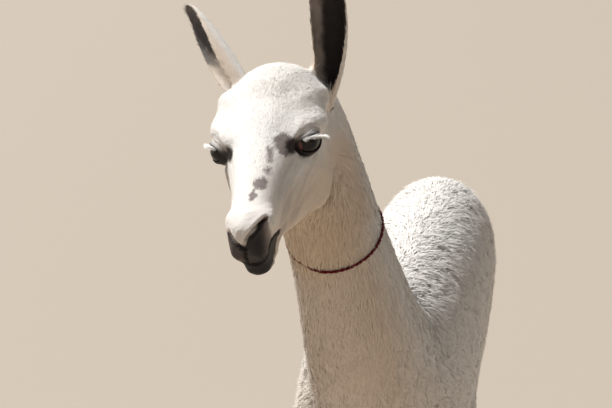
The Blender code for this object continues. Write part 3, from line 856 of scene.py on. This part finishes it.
def eye_skin(marks):
    """Dark skin round the eyes, drawn out at the inner corners, and painted shade of the creases over the
    upper lids.
    """
    for side in INNER_CORNERS:
        local = (marks.places - eye_centres[side]) @ eye_axes(side).T
        y, z = local[:, 1], local[:, 2]
        ring = np.hypot(y / (OPENING[0] + 0.0022), (z + 0.0014) / (OPENING[1] + 0.0022))
        near = np.linalg.norm(local, axis=1) < 0.034
        marks.paint(BLACK_SKIN, near * (1 - fade(ring, 1.02, 1.34)))
        marks.strip(near * (1 - fade(ring, 1.0, 1.22)))
        corner = blot(marks.at, INNER_CORNERS[side], (0.0130, 0.0100, 0.0085), 0.35)
        marks.paint(BROWN_SKIN, corner)
        marks.paint(BLACK_SKIN, 0.75 * corner)
        marks.strip(0.8 * corner)
        for rise, slope, strength in LID_CREASE_SHADES:
            line = z - rise - slope * y + 22 * y ** 2
            crease_shade = np.exp(-((line / 0.0011) ** 2)) * near * (np.abs(y) < 0.019)
            # Painted shade along each crease over the upper lid.
            marks.paint(GREIGE, strength * crease_shade)


def wobble(places):
    """Small shifts that make the edges of the dark skin uneven."""
    return 0.0016 * (mottle(places, 0.006, 5) - 0.5)


def below_nostrils(at):
    """How far places are below the line of the nostrils."""
    line = np.concatenate([np.array(NOSTRILS[-1])[:0:-1], NOSTRILS[1]])
    return np.interp(at[:, 1], line[:, 1], line[:, 2]) - at[:, 2]


def nose_skin(marks):
    """Painted shade on the front of the muzzle, and dark skin between the nostrils and the mouth, lighter on
    the right and at the left edge, with painted shade of the nostrils' depth under them.
    """
    at, on_head, paint = marks.at, marks.on_head, marks.paint
    shift = wobble(marks.places)
    below = below_nostrils(at)
    leftward = fade(at[:, 1], 0.0, 0.004)
    pads = on_head * fade(below + shift, 0.0, 0.0022) * fade(at[:, 0] + shift, 0.2540, 0.2610)
    pads *= fade(at[:, 2] - mouth_height(at), -0.0010, 0.0004)
    pads *= 1 - fade(at[:, 1] + shift, 0.0205, 0.0235)
    pads *= 1 - fade(-at[:, 1] + shift, 0.0190, 0.0225)
    # Painted shade: grey over the front of the muzzle.
    paint(GREIGE, 0.30 * on_head * fade(at[:, 0], 0.235, 0.268))
    paint(BROWN_SKIN, pads)
    paint(BLACK_SKIN, 0.35 * pads)
    paint(GREIGE, 0.10 * pads * (1 - leftward) * (0.3 + 0.7 * mottle(marks.places, 0.004, 8)))
    paint(GREIGE, 0.45 * pads * fade(at[:, 1], 0.0165, 0.0210))
    # Painted shade: nearly black just under the nostrils for their depth, over the dark skin.
    paint(BLACK_SKIN, 0.92 * pads * (1 - fade(below, 0.0030, 0.0062)))
    paint(BLACK_SKIN, 0.90 * pads * leftward * (1 - fade(at[:, 1], 0.0130, 0.0185)))
    paint(BLACK_SKIN, 0.75 * pads * (1 - fade(np.abs(at[:, 1] + 0.002), 0.0015, 0.0060)))
    marks.strip(pads)


def lower_lip(marks):
    """The nearly black lower lip, and painted grey-brown shade on the chin under it."""
    at, on_head = marks.at, marks.on_head
    angle = mouth_angle(at)
    drop = mouth_height(at) - at[:, 2]
    deep = np.interp(angle, LIP_ANGLES, LIP_DEPTHS)
    chin = fade(drop, 0.0, 0.004) * (1 - fade(drop, deep + 0.006, deep + 0.018))
    chin *= fade(at[:, 0], 0.195, 0.215)
    # Painted shade on the chin, beside and under the lower lip.
    marks.paint(GREIGE, 0.75 * on_head * chin)
    edge = 1 - fade(drop + wobble(marks.places), deep - 0.0015, deep + 0.0015)
    lower = on_head * fade(drop, -0.0012, 0.0006) * edge
    lower *= fade(at[:, 0], 0.214, 0.228) * (1 - fade(np.abs(angle), 1.75, 2.1))
    marks.paint(BLACK_SKIN, lower)
    marks.strip(lower)


def nostril_skin(marks):
    """Nearly black in the nostrils and brown at their rims, dark skin with painted shade of the nostrils'
    depth and of the rims' undersides, and pink at their outer ends.
    """
    far, share = distance_pair(marks.at, nostrils)
    rim = marks.on_head * (1 - fade(far, 0.0014, 0.0034))
    # Brown rim over each nostril: dark skin with painted shade under the overhanging rim.
    marks.paint(BROWN_SKIN, rim * (1 - fade(-below_nostrils(marks.at), 0.0008, 0.0022)))
    # Nearly black in the slit: dark skin with painted shade of the nostril's depth.
    marks.paint(BLACK_SKIN, marks.on_head * (1 - fade(far, 0.0012, 0.0026)))
    marks.paint(PINK, 0.8 * rim * fade(share, 0.68, 0.86))
    marks.strip(marks.on_head * (1 - fade(far, 0.002, 0.0045)))


def ears_and_feet(marks):
    """Dark hollows in the ears, with painted shadow on the far side of the left one's hollow, and a dark edge
    and dusty hair at the feet.
    """
    inside, along, whose = ear_insides(marks.places, marks.facing)
    inside = inside * (marks.kind == REGIONS.index("ear"))
    streaks = mottle(marks.places, 0.007, 9)
    left = inside * (whose > 0)
    marks.paint(GREIGE, left)
    # Painted shadow: near black over the dark ear skin on the far side of the left ear's hollow.
    marks.paint(EAR_SKIN_AND_SHADE, left * fade(0.5 * streaks + ear_shadow_side(marks.places), 0.15, 0.95))
    right = inside * (whose < 0) * fade(along + 0.2 * streaks, 0.30, 0.62)
    marks.paint(EAR_GREY, 0.95 * right)
    feet = marks.kind == REGIONS.index("foot")
    height = marks.places[:, 2]
    marks.paint(BROWN_SKIN, feet * (1 - fade(height, 0.004, 0.014)))
    marks.paint(TAN, 0.35 * (1 - fade(height, 0.02, 0.22)))
    marks.strip(feet * (1 - fade(height, 0.004, 0.010)))


def markings(places, facing, kind):
    """The colour at places on the skin, and how bare of coat they are."""
    marks = Marks(places, facing, kind)
    wool_shades(marks)
    if marks.on_head.any():
        for part in (bridge_spots, cheek_fold_shade, eye_skin, nose_skin, lower_lip, nostril_skin):
            part(marks)
    ears_and_feet(marks)
    return marks.colour, marks.bare


def coloured(mesh, colours):
    """Stores colours at a mesh's points."""
    layer = mesh.color_attributes.new("Marks", "FLOAT_COLOR", "POINT")
    layer.data.foreach_set("color", np.column_stack([colours, np.ones(len(colours))]).ravel())


skin_colours, bare = markings(points, normals, region)
skin = shown("skin", mesh_from("skin", points, triangles))
skin.data.shade_smooth()
coloured(skin.data, skin_colours)
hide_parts(*flesh)
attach(skin, "root")


def scaled(nodes, links, value, low, high, start=0.0, end=1.0):
    """A value, stretched so that start to end becomes low to high."""
    node = nodes.new("ShaderNodeMapRange")
    for name, number in (("From Min", start), ("From Max", end), ("To Min", low), ("To Max", high)):
        node.inputs[name].default_value = number
    links.new(value, node.inputs["Value"])
    return node.outputs["Result"]


def marked(nodes, links, tone):
    """The stored marks, and the marks multiplied by a tone."""
    marks = nodes.new("ShaderNodeAttribute")
    marks.attribute_name = "Marks"
    mixed = nodes.new("ShaderNodeMix")
    mixed.data_type = "RGBA"
    mixed.blend_type = "MULTIPLY"
    mixed.inputs["Factor"].default_value = 1
    links.new(marks.outputs["Color"], mixed.inputs[6])
    links.new(tone, mixed.inputs[7])
    return marks.outputs["Color"], mixed.outputs[2]


def skin_paint():
    """Markings with a fine grain of short hair, and damp skin where they are dark."""
    made, nodes, links, shader = principled("short_hair_and_skin", WHITE, 0.8)
    shader.inputs["Specular IOR Level"].default_value = 0.25
    place = nodes.new("ShaderNodeTexCoord").outputs["Object"]
    along_head = nodes.new("ShaderNodeMapping")
    along_head.vector_type = "TEXTURE"
    along_head.inputs["Rotation"].default_value = Matrix(head_axes.T.tolist()).to_euler()
    along_head.inputs["Scale"].default_value = (5.0, 1.0, 1.6)
    links.new(place, along_head.inputs["Vector"])
    hairs = grain(nodes, links, 1600, 3, along_head.outputs["Vector"])
    pores = nodes.new("ShaderNodeTexVoronoi")
    pores.inputs["Scale"].default_value = 620
    links.new(place, pores.inputs["Vector"])
    marks, colour = marked(nodes, links, scaled(nodes, links, hairs, 0.80, 1.08))
    links.new(colour, shader.inputs["Base Color"])
    light = nodes.new("ShaderNodeRGBToBW")
    links.new(marks, light.inputs["Color"])
    links.new(scaled(nodes, links, light.outputs["Val"], 0.46, 0.82, 0.0, 0.16), shader.inputs["Roughness"])
    height = nodes.new("ShaderNodeMath")
    links.new(hairs, height.inputs[0])
    links.new(pores.outputs["Distance"], height.inputs[1])
    bumps(nodes, links, shader, height.outputs["Value"], 0.5, 0.0006)
    return made


skin.data.materials.append(skin_paint())


# ---- Eyes ----
# Each eye is one glossy ball: a nearly black brown iris with a wide level pupil, under a cornea that
# stands a little proud, and the pink third lid at its inner corner. It sits in a socket of its own.
CORNEA_RADIUS, CORNEA_RISE = 0.0130, 0.0011
PUPIL = (0.0066, 0.0034)  # half its width and half its height
IRIS_RADIUS = 0.0138
THIRD_LID = (-0.0118, -0.0130)  # where it starts, and where it is fully there, towards the inner corner


def shades(nodes, links, value, *stops):
    """Colours along a value, from stops of a place and a colour."""
    node = nodes.new("ShaderNodeValToRGB")
    elements = node.color_ramp.elements
    for element, (position, colour) in zip(elements, stops):
        element.position = position
        element.color = (*colour, 1)
    links.new(value, node.inputs["Fac"])
    return node.outputs["Color"]


def eye_paint():
    """Pupil, iris, white and third lid, by place on the ball: X out, Y to the outer corner, Z up."""
    made, nodes, links, shader = principled("eye", (0.02, 0.015, 0.012), 0.06)
    shader.inputs["Specular IOR Level"].default_value = 0.1
    shader.inputs["Coat Weight"].default_value = 0.60
    shader.inputs["Coat Roughness"].default_value = 0.02
    shader.inputs["Coat IOR"].default_value = 1.32
    place = nodes.new("ShaderNodeTexCoord")
    apart = nodes.new("ShaderNodeSeparateXYZ")
    links.new(place.outputs["Object"], apart.inputs["Vector"])

    def math_of(operation, first, second):
        node = nodes.new("ShaderNodeMath")
        node.operation = operation
        for socket, value in zip(node.inputs, (first, second)):
            if isinstance(value, float):
                socket.default_value = value
            else:
                links.new(value, socket)
        return node.outputs["Value"]

    def oval(half_y, half_z):
        """1 on an oval round the middle of the eye, less inside it and more outside."""
        y = math_of("DIVIDE", apart.outputs["Y"], half_y)
        z = math_of("DIVIDE", apart.outputs["Z"], half_z)
        return math_of("ADD", math_of("MULTIPLY", y, y), math_of("MULTIPLY", z, z))

    def ramp(value, *stops):
        return shades(nodes, links, value, *stops)

    def mix(amount, first, second):
        node = nodes.new("ShaderNodeMix")
        node.data_type = "RGBA"
        links.new(amount, node.inputs["Factor"])
        links.new(first, node.inputs[6])
        links.new(second, node.inputs[7])
        return node.outputs[2]

    streaks = grain(nodes, links, 420, 4)
    black, full = (0.0, 0.0, 0.0), (1.0, 1.0, 1.0)
    iris = ramp(streaks, (0.3, (0.004, 0.003, 0.003)), (0.7, (0.022, 0.013, 0.009)))
    pupil_black = ramp(streaks, (0.0, (0.003, 0.003, 0.004)), (1.0, (0.006, 0.006, 0.008)))
    veins = ramp(streaks, (0.35, (0.008, 0.006, 0.006)), (0.7, (0.030, 0.020, 0.018)))
    lid_pink = ramp(streaks, (0.3, (0.13, 0.045, 0.036)), (0.7, (0.30, 0.135, 0.11)))
    in_pupil = ramp(oval(*PUPIL), (0.55, full), (1.0, black))
    past_iris = ramp(oval(IRIS_RADIUS, IRIS_RADIUS), (0.80, black), (1.0, full))
    on_lid = scaled(nodes, links, apart.outputs["Y"], 0.0, 1.0, *THIRD_LID)
    colour = mix(in_pupil, iris, pupil_black)
    colour = mix(past_iris, colour, veins)
    colour = mix(on_lid, colour, lid_pink)
    links.new(colour, shader.inputs["Base Color"])
    return made


eye_look = eye_paint()
for side, hand in SIDES:
    bpy.ops.mesh.primitive_uv_sphere_add(segments=64, ring_count=48, radius=EYE_RADIUS)
    ball = bpy.context.object
    ball.name = "eyeball_" + hand
    ball.data.transform(Matrix.Rotation(math.radians(90), 4, "Y"))
    for corner in ball.data.vertices:
        reach = math.hypot(corner.co.y, corner.co.z) / CORNEA_RADIUS
        if corner.co.x > 0 and reach < 1:
            corner.co.x += CORNEA_RISE * (1 - reach ** 2) ** 2
    if side < 0:
        ball.data.transform(Matrix.Diagonal((1, -1, 1, 1)))
        ball.data.flip_normals()
    axes = eye_axes(side)
    axes[1] *= side
    ball.matrix_world = Matrix.Translation(eye_centres[side]) @ Matrix(axes.T.tolist()).to_4x4()
    ball.data.shade_smooth()
    ball.data.materials.append(eye_look)
    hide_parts("eye_" + hand)
    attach(ball, "root")


# ---- Eyelashes ----
# Long white lashes stand along the rim of each upper lid, thickest towards the outer corner, and
# sweep out over the eye and back. Each one is a thin tapering blade.
LASHES = 420
LASH_STEPS = 5
LASH_LENGTH, LASH_WIDTH = 0.0120, 0.00068


def blade_faces(count, steps, quad, tip):
    """The faces of blades that each have two corners at every step and one at the tip, and their order."""
    per = 2 * steps + 1
    base = np.arange(count)[:, None] * per
    quads = np.concatenate([base + k + np.array(quad) for k in range(0, per - 3, 2)])
    return quads, base + per - 3 + np.array(tip)


def lashes(side, hand):
    dice = np.random.default_rng(5 + side)
    share = dice.beta(1.6, 1.0, LASHES)
    y = OPENING[0] * (-0.80 + 1.78 * share)
    z = OPENING[1] * np.sqrt(np.maximum(0, 1 - (y / OPENING[0]) ** 2)) * (1 - 0.16 * y / OPENING[0])
    z -= 0.10 * y
    z += 0.0010 * dice.random(LASHES)
    reach = EYE_RADIUS + LID_WALL
    x = np.sqrt(np.maximum(0, reach ** 2 - y ** 2 - z ** 2)) - 0.0006
    root = np.column_stack([x, y, z])
    long = LASH_LENGTH * dice.uniform(0.6, 1.1, LASHES) * (0.65 + 0.25 * share)
    way = np.column_stack([0.62 - 0.15 * share, 0.20 + 0.55 * share, np.full(LASHES, -0.26)])
    way = unit(way + (0.10, 0.12, 0.16) * dice.normal(size=way.shape))
    lift = 0.32 + 0.1 * dice.normal(size=LASHES)
    bend = np.column_stack([np.full(LASHES, -0.10), np.full(LASHES, 0.10), lift])
    across = unit(np.cross(way, (0.3, 0.0, 1.0)))
    rows = []
    for k in range(LASH_STEPS + 1):
        t = k / LASH_STEPS
        place = root + way * (long * t)[:, None] + bend * (long * t * (t - 0.75))[:, None]
        for edge in ((-1, 1) if k < LASH_STEPS else (0,)):
            rows.append(place + across * (LASH_WIDTH / 2 * (1 - 0.6 * t) * edge))
    verts = eye_centres[side] + np.stack(rows, 1).reshape(-1, 3) @ eye_axes(side)
    faces = blade_faces(LASHES, LASH_STEPS, (0, 1, 3, 2), (0, 1, 2))
    piece = shown("lashes_" + hand, mesh_from("lashes_" + hand, verts, *faces))
    made, nodes, links, shader = principled("lash", (0.88, 0.86, 0.83), 0.6)
    links.new(scaled(nodes, links, grain(nodes, links, 300), 0.45, 0.65), shader.inputs["Roughness"])
    piece.data.materials.append(made)
    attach(piece, "root")


for side, hand in SIDES:
    lashes(side, hand)


# ---- Collar ----
# A thin dark red yarn of two strands twisted together, tied close round the neck. It lies in the wool,
# which half hides it on the left and covers most of it on the right.
YARN_PITCH = 0.0092
STRAND_RADIUS, STRAND_OFFSET = 0.00125, 0.00105
YARN_SUNK = (0.0030, 0.0053)  # how deep in the wool it lies on the left and on the right
YARN_RINGS, YARN_SIDES = 700, 7


def yarn():
    mesh_points = arrays_of(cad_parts["collar"].data)[0]
    middle = mesh_points.mean(0)
    local = mesh_points - middle
    flat = np.linalg.svd(local, full_matrices=False)[2]
    angles = np.arctan2(local @ flat[1], local @ flat[0])
    turn = np.linspace(0, 2 * math.pi, YARN_RINGS, endpoint=False)
    apart = np.angle(np.exp(1j * (angles[None] - turn[:, None])))
    weight = np.exp(-((apart / 0.11) ** 2))
    line = (weight @ local) / weight.sum(1)[:, None]
    away = np.linalg.norm(line, axis=1)
    sunk = YARN_SUNK[0] + (YARN_SUNK[1] - YARN_SUNK[0]) * fade(-line[:, 0] / away, -0.15, 0.25)
    line *= (1 - sunk / away)[:, None]
    ahead = unit(np.roll(line, -1, 0) - np.roll(line, 1, 0))
    out = unit(line - ahead * (line * ahead).sum(1)[:, None])
    up = np.cross(ahead, out)
    length = np.linalg.norm(np.roll(line, -1, 0) - line, axis=1).sum()
    twist = turn * round(length / YARN_PITCH)
    verts, faces = [], []
    round_it = np.linspace(0, 2 * math.pi, YARN_SIDES, endpoint=False)
    for strand in (0, 1):
        at = twist + strand * math.pi
        core = line + STRAND_OFFSET * (out * np.cos(at)[:, None] + up * np.sin(at)[:, None])
        ring = np.stack([core + STRAND_RADIUS * (out * np.cos(a) + up * np.sin(a)) for a in round_it], 1)
        start = strand * YARN_RINGS * YARN_SIDES
        k = np.arange(YARN_RINGS)[:, None]
        j = np.arange(YARN_SIDES)[None]
        next_k, next_j = (k + 1) % YARN_RINGS, (j + 1) % YARN_SIDES
        corners = (k * YARN_SIDES + j, k * YARN_SIDES + next_j,
                   next_k * YARN_SIDES + next_j, next_k * YARN_SIDES + j)
        verts.append(ring.reshape(-1, 3))
        faces.append(start + np.stack(np.broadcast_arrays(*corners), -1).reshape(-1, 4))
    verts = np.concatenate(verts) + middle
    piece = shown("collar_yarn", mesh_from("collar_yarn", verts, np.concatenate(faces)))
    shape = bmesh.new()
    shape.from_mesh(piece.data)
    bmesh.ops.recalc_face_normals(shape, faces=shape.faces)
    shape.to_mesh(piece.data)
    shape.free()
    piece.data.shade_smooth()
    made, nodes, links, shader = principled("yarn", (0.20, 0.012, 0.018), 0.8)
    shader.inputs["Specular IOR Level"].default_value = 0.2
    fibres = grain(nodes, links, 1500, 3)
    reds = shades(nodes, links, fibres, (0.3, (0.050, 0.004, 0.008)), (0.75, (0.26, 0.016, 0.022)))
    links.new(reds, shader.inputs["Base Color"])
    bumps(nodes, links, shader, fibres, 0.8, 0.0004)
    piece.data.materials.append(made)
    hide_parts("collar")
    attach(piece, "root")


yarn()


# ---- Toenails ----
# Two short pointed nails of dark brown horn stand at the front of each padded foot. They are the
# frame's own nails, given the look of horn with growth rings.
def horn_paint():
    made, nodes, links, shader = principled("horn", (0.045, 0.034, 0.028), 0.42)
    rings = grain(nodes, links, 260, 4)
    browns = shades(nodes, links, rings, (0.0, (0.022, 0.017, 0.015)), (1.0, (0.150, 0.115, 0.090)))
    links.new(browns, shader.inputs["Base Color"])
    bumps(nodes, links, shader, rings, 0.3, 0.0004)
    return made


horn = horn_paint()
for name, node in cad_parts.items():
    if name.startswith("nail"):
        node.data.materials.clear()
        node.data.materials.append(horn)
        node.data.shade_smooth()


# ---- The coat ----
# The coat is white wool, from two millimetres deep on the face to sixteen on the body. It is made of
# thin tapering tufts, rooted in the skin and drawn together at their tips into locks. They lie back
# over the head, up the ears, down the neck and legs, and down and back over the body.
PATCH = 0.003  # the width of a tuft's patch on the unwrap
SCATTER, LEAN = 0.22, 0.22  # how far single tufts stray from the lie, and how far their blades tip
ROOTED = 0.0006  # how far under the skin a tuft starts
COATS = {
    # piece: tufts, seed and steps; length and height in depths of the coat; widths of a tuft and of a
    # lock; how far tips are drawn to the middle of their lock, and how far they curl
    "coat_head": ((64000, 10, 2), (2.5, 0.70), (0.00058, 0.0040), (0.24, 0.05)),
    "coat_ears": ((16000, 20, 2), (6.0, 1.2), (0.00060, 0.0040), (0.35, 0.05)),
    "coat_neck_upper": ((39500, 30, 3), (3.2, 0.80), (0.0010, 0.0070), (0.28, 0.11)),
    "coat_neck_lower": ((39500, 40, 3), (3.3, 0.85), (0.0012, 0.0085), (0.32, 0.11)),
    "coat_body_front_left": ((33000, 50, 3), (2.3, 0.95), (0.0022, 0.015), (0.55, 0.12)),
    "coat_body_front_right": ((27000, 50, 3), (2.3, 0.95), (0.0022, 0.015), (0.55, 0.12)),
    "coat_body_rear_left": ((29000, 50, 3), (2.3, 0.95), (0.0022, 0.015), (0.55, 0.12)),
    "coat_body_rear_right": ((25000, 50, 3), (2.3, 0.95), (0.0022, 0.015), (0.55, 0.12)),
    "coat_forelegs": ((23000, 60, 3), (2.6, 0.70), (0.0016, 0.0070), (0.50, 0.07)),
    "coat_hindlegs": ((23000, 60, 3), (2.6, 0.70), (0.0016, 0.0070), (0.50, 0.07)),
    "coat_tail": ((8000, 70, 3), (2.6, 1.0), (0.0020, 0.010), (0.50, 0.10)),
}


def lie_of(places, kind):
    """The way that the coat lies at places on the skin, before it is laid flat on it."""
    at = in_head(places)
    lie = np.tile(np.array((0.0, 0.10, -1.0)), (len(places), 1))
    trunk = kind == REGIONS.index("trunk")
    lie[trunk] = np.column_stack([6.0 * (places[trunk, 0] - places[trunk, 0].mean()),
                                  np.full(trunk.sum(), 0.45), np.full(trunk.sum(), -0.95)])
    head = kind == REGIONS.index("head")
    back = -head_axes[0] - head_axes[2] * fade(-at[head, 2], 0.0, 0.06)[:, None] * 0.7
    lie[head] = back + head_axes[1] * (at[head, 1:2] * 8.0)
    for side, (root, axis, opening) in ear_places.items():
        mine = (kind == REGIONS.index("ear")) & (side * at[:, 1] > 0)
        lie[mine] = axis
    return lie


def unwrap(chosen):
    """Where the corners of the chosen triangles of the skin are on a flat unwrap of their own."""
    piece = shown("unwrap", mesh_from("unwrap", points, triangles[chosen]))
    bpy.context.view_layer.objects.active = piece
    piece.select_set(True)
    bpy.ops.object.mode_set(mode="EDIT")
    bpy.ops.mesh.select_all(action="SELECT")
    bpy.ops.uv.smart_project(angle_limit=math.radians(66), island_margin=0.003)
    bpy.ops.object.mode_set(mode="OBJECT")
    flat = np.empty(len(piece.data.loops) * 2)
    piece.data.uv_layers.active.data.foreach_get("uv", flat)
    bpy.data.objects.remove(piece)
    return flat.reshape(-1, 3, 2)


def roots_on(chosen, wanted, seed, grows):
    """Evenly scattered roots on the chosen triangles: each one's triangle, and its shares of the corners."""
    dice = np.random.default_rng(seed)
    corners = triangles[chosen]
    a, b, c = (points[corners[:, k]] for k in range(3))
    area = np.linalg.norm(np.cross(b - a, c - a), axis=1) / 2
    hairy = area * ((1 - bare[corners].mean(1)) * grows[corners].mean(1)) ** 2
    pick = dice.choice(len(chosen), 3 * wanted, p=hairy / hairy.sum())
    one, two = dice.random(3 * wanted), dice.random(3 * wanted)
    folded = one + two > 1
    one[folded], two[folded] = 1 - one[folded], 1 - two[folded]
    shares = np.column_stack([1 - one - two, one, two])
    places = (points[corners[pick]] * shares[:, :, None]).sum(1)
    cell = math.sqrt(hairy.sum() / wanted) * 1.02
    crowd = np.unique(np.floor(places / cell).astype(np.int64), axis=0, return_index=True)[1]
    crowd = dice.permutation(crowd)[:wanted]
    return pick[crowd], shares[crowd]


def gathered(places, facing, pitch, seed):
    """For each root, the way to the middle of its lock, and a number of its lock's own."""
    dice = np.random.default_rng(seed)
    cells = np.floor(places / pitch).astype(np.int64)
    middles = dice.permutation(np.unique(cells, axis=0, return_index=True)[1])
    tree = KDTree(len(middles))
    for k, place in enumerate(places[middles].tolist()):
        tree.insert(place, k)
    tree.balance()
    lock = np.array([tree.find(place)[1] for place in places.tolist()])
    toward = places[middles][lock] - places
    toward -= facing * (toward * facing).sum(1)[:, None]
    return toward, dice.random((len(middles), 4))[lock]


def laid_out(mesh, places, steps, dice):
    """Gives each tuft a patch of its own on the skin's unwrap, and a layer that runs along its fibres."""
    sides = np.array([[edge, k / steps] for k in range(steps) for edge in (0, 1)] + [[0.5, 1]])
    bake = np.clip(places[:, None] + (sides - 0.5)[None] * PATCH, 0, 1)
    fibre = sides[None] + dice.random((len(places), 1, 2)) * 40
    corners = np.empty(len(mesh.loops), np.int32)
    mesh.loops.foreach_get("vertex_index", corners)
    for name, values in (("OFBake", bake), ("Fibre", fibre)):
        layer = mesh.uv_layers.new(name=name)
        layer.data.foreach_set("uv", values.reshape(-1, 2)[corners].ravel())


def coat(name, grows, paint):
    """Grows one piece of the coat. It is as thick at each point of the skin as grows says, from 0 to 1."""
    (wanted, seed, steps), (length, height), (width, pitch), (pull, wave) = COATS[name]
    chosen = np.flatnonzero(grows[triangles].mean(1) > 0.05)
    flat = unwrap(chosen)
    pick, shares = roots_on(chosen, wanted, seed, grows)
    corners = triangles[chosen][pick]

    def at_roots(values):
        return (values[corners] * shares.reshape(shares.shape + (1,) * (values.ndim - 1))).sum(1)

    dice = np.random.default_rng(seed + 1)
    count = len(pick)
    root = at_roots(points)
    facing = unit(at_roots(normals))
    lie = at_roots(lies) + SCATTER * dice.normal(size=(count, 3))
    lie = unit(lie - facing * (lie * facing).sum(1)[:, None])
    deep = at_roots(depth)
    scant = 1 - 0.75 * at_roots(bare)
    toward, own = gathered(root, facing, pitch, seed + 2)
    long = length * deep * scant * dice.uniform(0.72, 1.12, count) * (0.8 + 0.4 * own[:, 0])
    tall = height * deep * scant * dice.uniform(0.70, 1.06, count) * (0.78 + 0.3 * own[:, 1])
    tall = np.minimum(tall, 0.9 * long)
    run = np.sqrt(np.maximum(long ** 2 - tall ** 2, 1e-8))
    across = unit(np.cross(facing, lie))
    swing = 2 * math.pi * (own[:, 2] + 0.12 * dice.normal(size=count))
    half = width * dice.uniform(0.7, 1.3, count) / 2
    lean = dice.normal(size=count) * LEAN
    blade = across * np.cos(lean)[:, None] + facing * np.sin(lean)[:, None]
    rows, sides_of, tones = [], [], []
    shade = markings(root, facing, region[corners[:, 0]])[0]
    shade *= (0.93 + 0.11 * dice.random(count) + 0.05 * (own[:, 3] - 0.5))[:, None]
    for k in range(steps + 1):
        t = k / steps
        place = root - facing * ROOTED + facing * (tall * (1 - (1 - t) ** 1.7))[:, None]
        place = place + lie * (run * t ** 1.25)[:, None] + toward * (pull * t ** 0.9)
        curl = wave * long * t
        place = place + across * (curl * np.sin(swing + 7.5 * t))[:, None]
        place = place + facing * (0.5 * curl * np.cos(swing + 7.5 * t))[:, None]
        spread = half * (1.0 - 0.25 * t) * (0.85 if k == 0 else 1)
        for edge in ((-1, 1) if k < steps else (0,)):
            rows.append(place + blade * (spread * edge)[:, None])
            sides_of.append(unit(facing + blade * 0.28 * edge + lie * 0.12 * t))
            tones.append(shade * (0.95 + 0.08 * t))
    verts = np.stack(rows, 1).reshape(-1, 3)
    mesh = mesh_from(name, verts, *blade_faces(count, steps, (0, 2, 3, 1), (0, 2, 1)))
    coloured(mesh, np.stack(tones, 1).reshape(-1, 3))
    mesh.shade_smooth()
    laid_out(mesh, (flat[pick] * shares[:, :, None]).sum(1), steps, dice)
    mesh.normals_split_custom_set_from_vertices(np.stack(sides_of, 1).reshape(-1, 3))
    mesh.materials.append(paint)
    piece = shown(name, mesh)
    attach(piece, "root")


def wool_paint(name, streak):
    """Dull white fibre in the coat's marks, streaked along each tuft."""
    made, nodes, links, shader = principled(name, WHITE, 0.72)
    shader.inputs["Specular IOR Level"].default_value = 0.25
    shader.inputs["Sheen Weight"].default_value = 0.12
    shader.inputs["Sheen Roughness"].default_value = 0.5
    place = nodes.new("ShaderNodeUVMap")
    place.uv_map = "Fibre"
    stretch = nodes.new("ShaderNodeMapping")
    stretch.inputs["Scale"].default_value = (6, 1.2, 1)
    links.new(place.outputs["UV"], stretch.inputs["Vector"])
    fibres = grain(nodes, links, 1.6, 2, stretch.outputs["Vector"])
    colour = marked(nodes, links, scaled(nodes, links, fibres, 1 - streak, 1.04, 0.3, 0.7))[1]
    links.new(colour, shader.inputs["Base Color"])
    return made


def shares_of_regions():
    """How much of the coat at each point of the skin is each region's, passing slowly between them."""
    ear = REGIONS.index("ear")
    own = (region[:, None] == np.arange(len(REGIONS))).astype(float)
    ear_share = soften(own[:, ear], edges, 6)
    own = soften(own, edges, 90, loose)
    own[:, ear] = 0
    own *= ((1 - ear_share) / np.maximum(own.sum(1), 1e-9))[:, None]
    own[:, ear] = ear_share
    return dict(zip(REGIONS, own.T))


loose = loosened(points, region)
lies = soften(soften(unit(lie_of(points, region)), edges, 20), edges, 90, loose)
at = in_head(points)
on_head = region == REGIONS.index("head")
depth *= 1 - 0.60 * on_head * fade(at[:, 0], 0.19, 0.25)  # shortest at the muzzle
depth *= 1 + 0.45 * on_head * (1 - fade(at[:, 0], 0.05, 0.11)) * fade(at[:, 2], 0.0, 0.05)  # the crown
grows = shares_of_regions()
hair_paint, fleece_paint = wool_paint("short_hair", 0.08), wool_paint("wool", 0.12)
coat("coat_head", grows["head"], hair_paint)
coat("coat_ears", grows["ear"], hair_paint)
high = fade(points[:, 2], 1.00, 1.04)
coat("coat_neck_upper", grows["neck"] * high, fleece_paint)
coat("coat_neck_lower", grows["neck"] * (1 - high), fleece_paint)
rear = points[:, 1] > 0.12
left = points[:, 0] > points[region == REGIONS.index("trunk"), 0].mean()
for end, in_end in (("front", ~rear), ("rear", rear)):
    for hand, on_side in (("left", left), ("right", ~left)):
        coat(f"coat_body_{end}_{hand}", grows["trunk"] * (in_end & on_side), fleece_paint)
coat("coat_forelegs", (grows["leg"] + grows["foot"]) * ~rear, fleece_paint)
coat("coat_hindlegs", (grows["leg"] + grows["foot"]) * rear, fleece_paint)
coat("coat_tail", grows["tail"], fleece_paint)
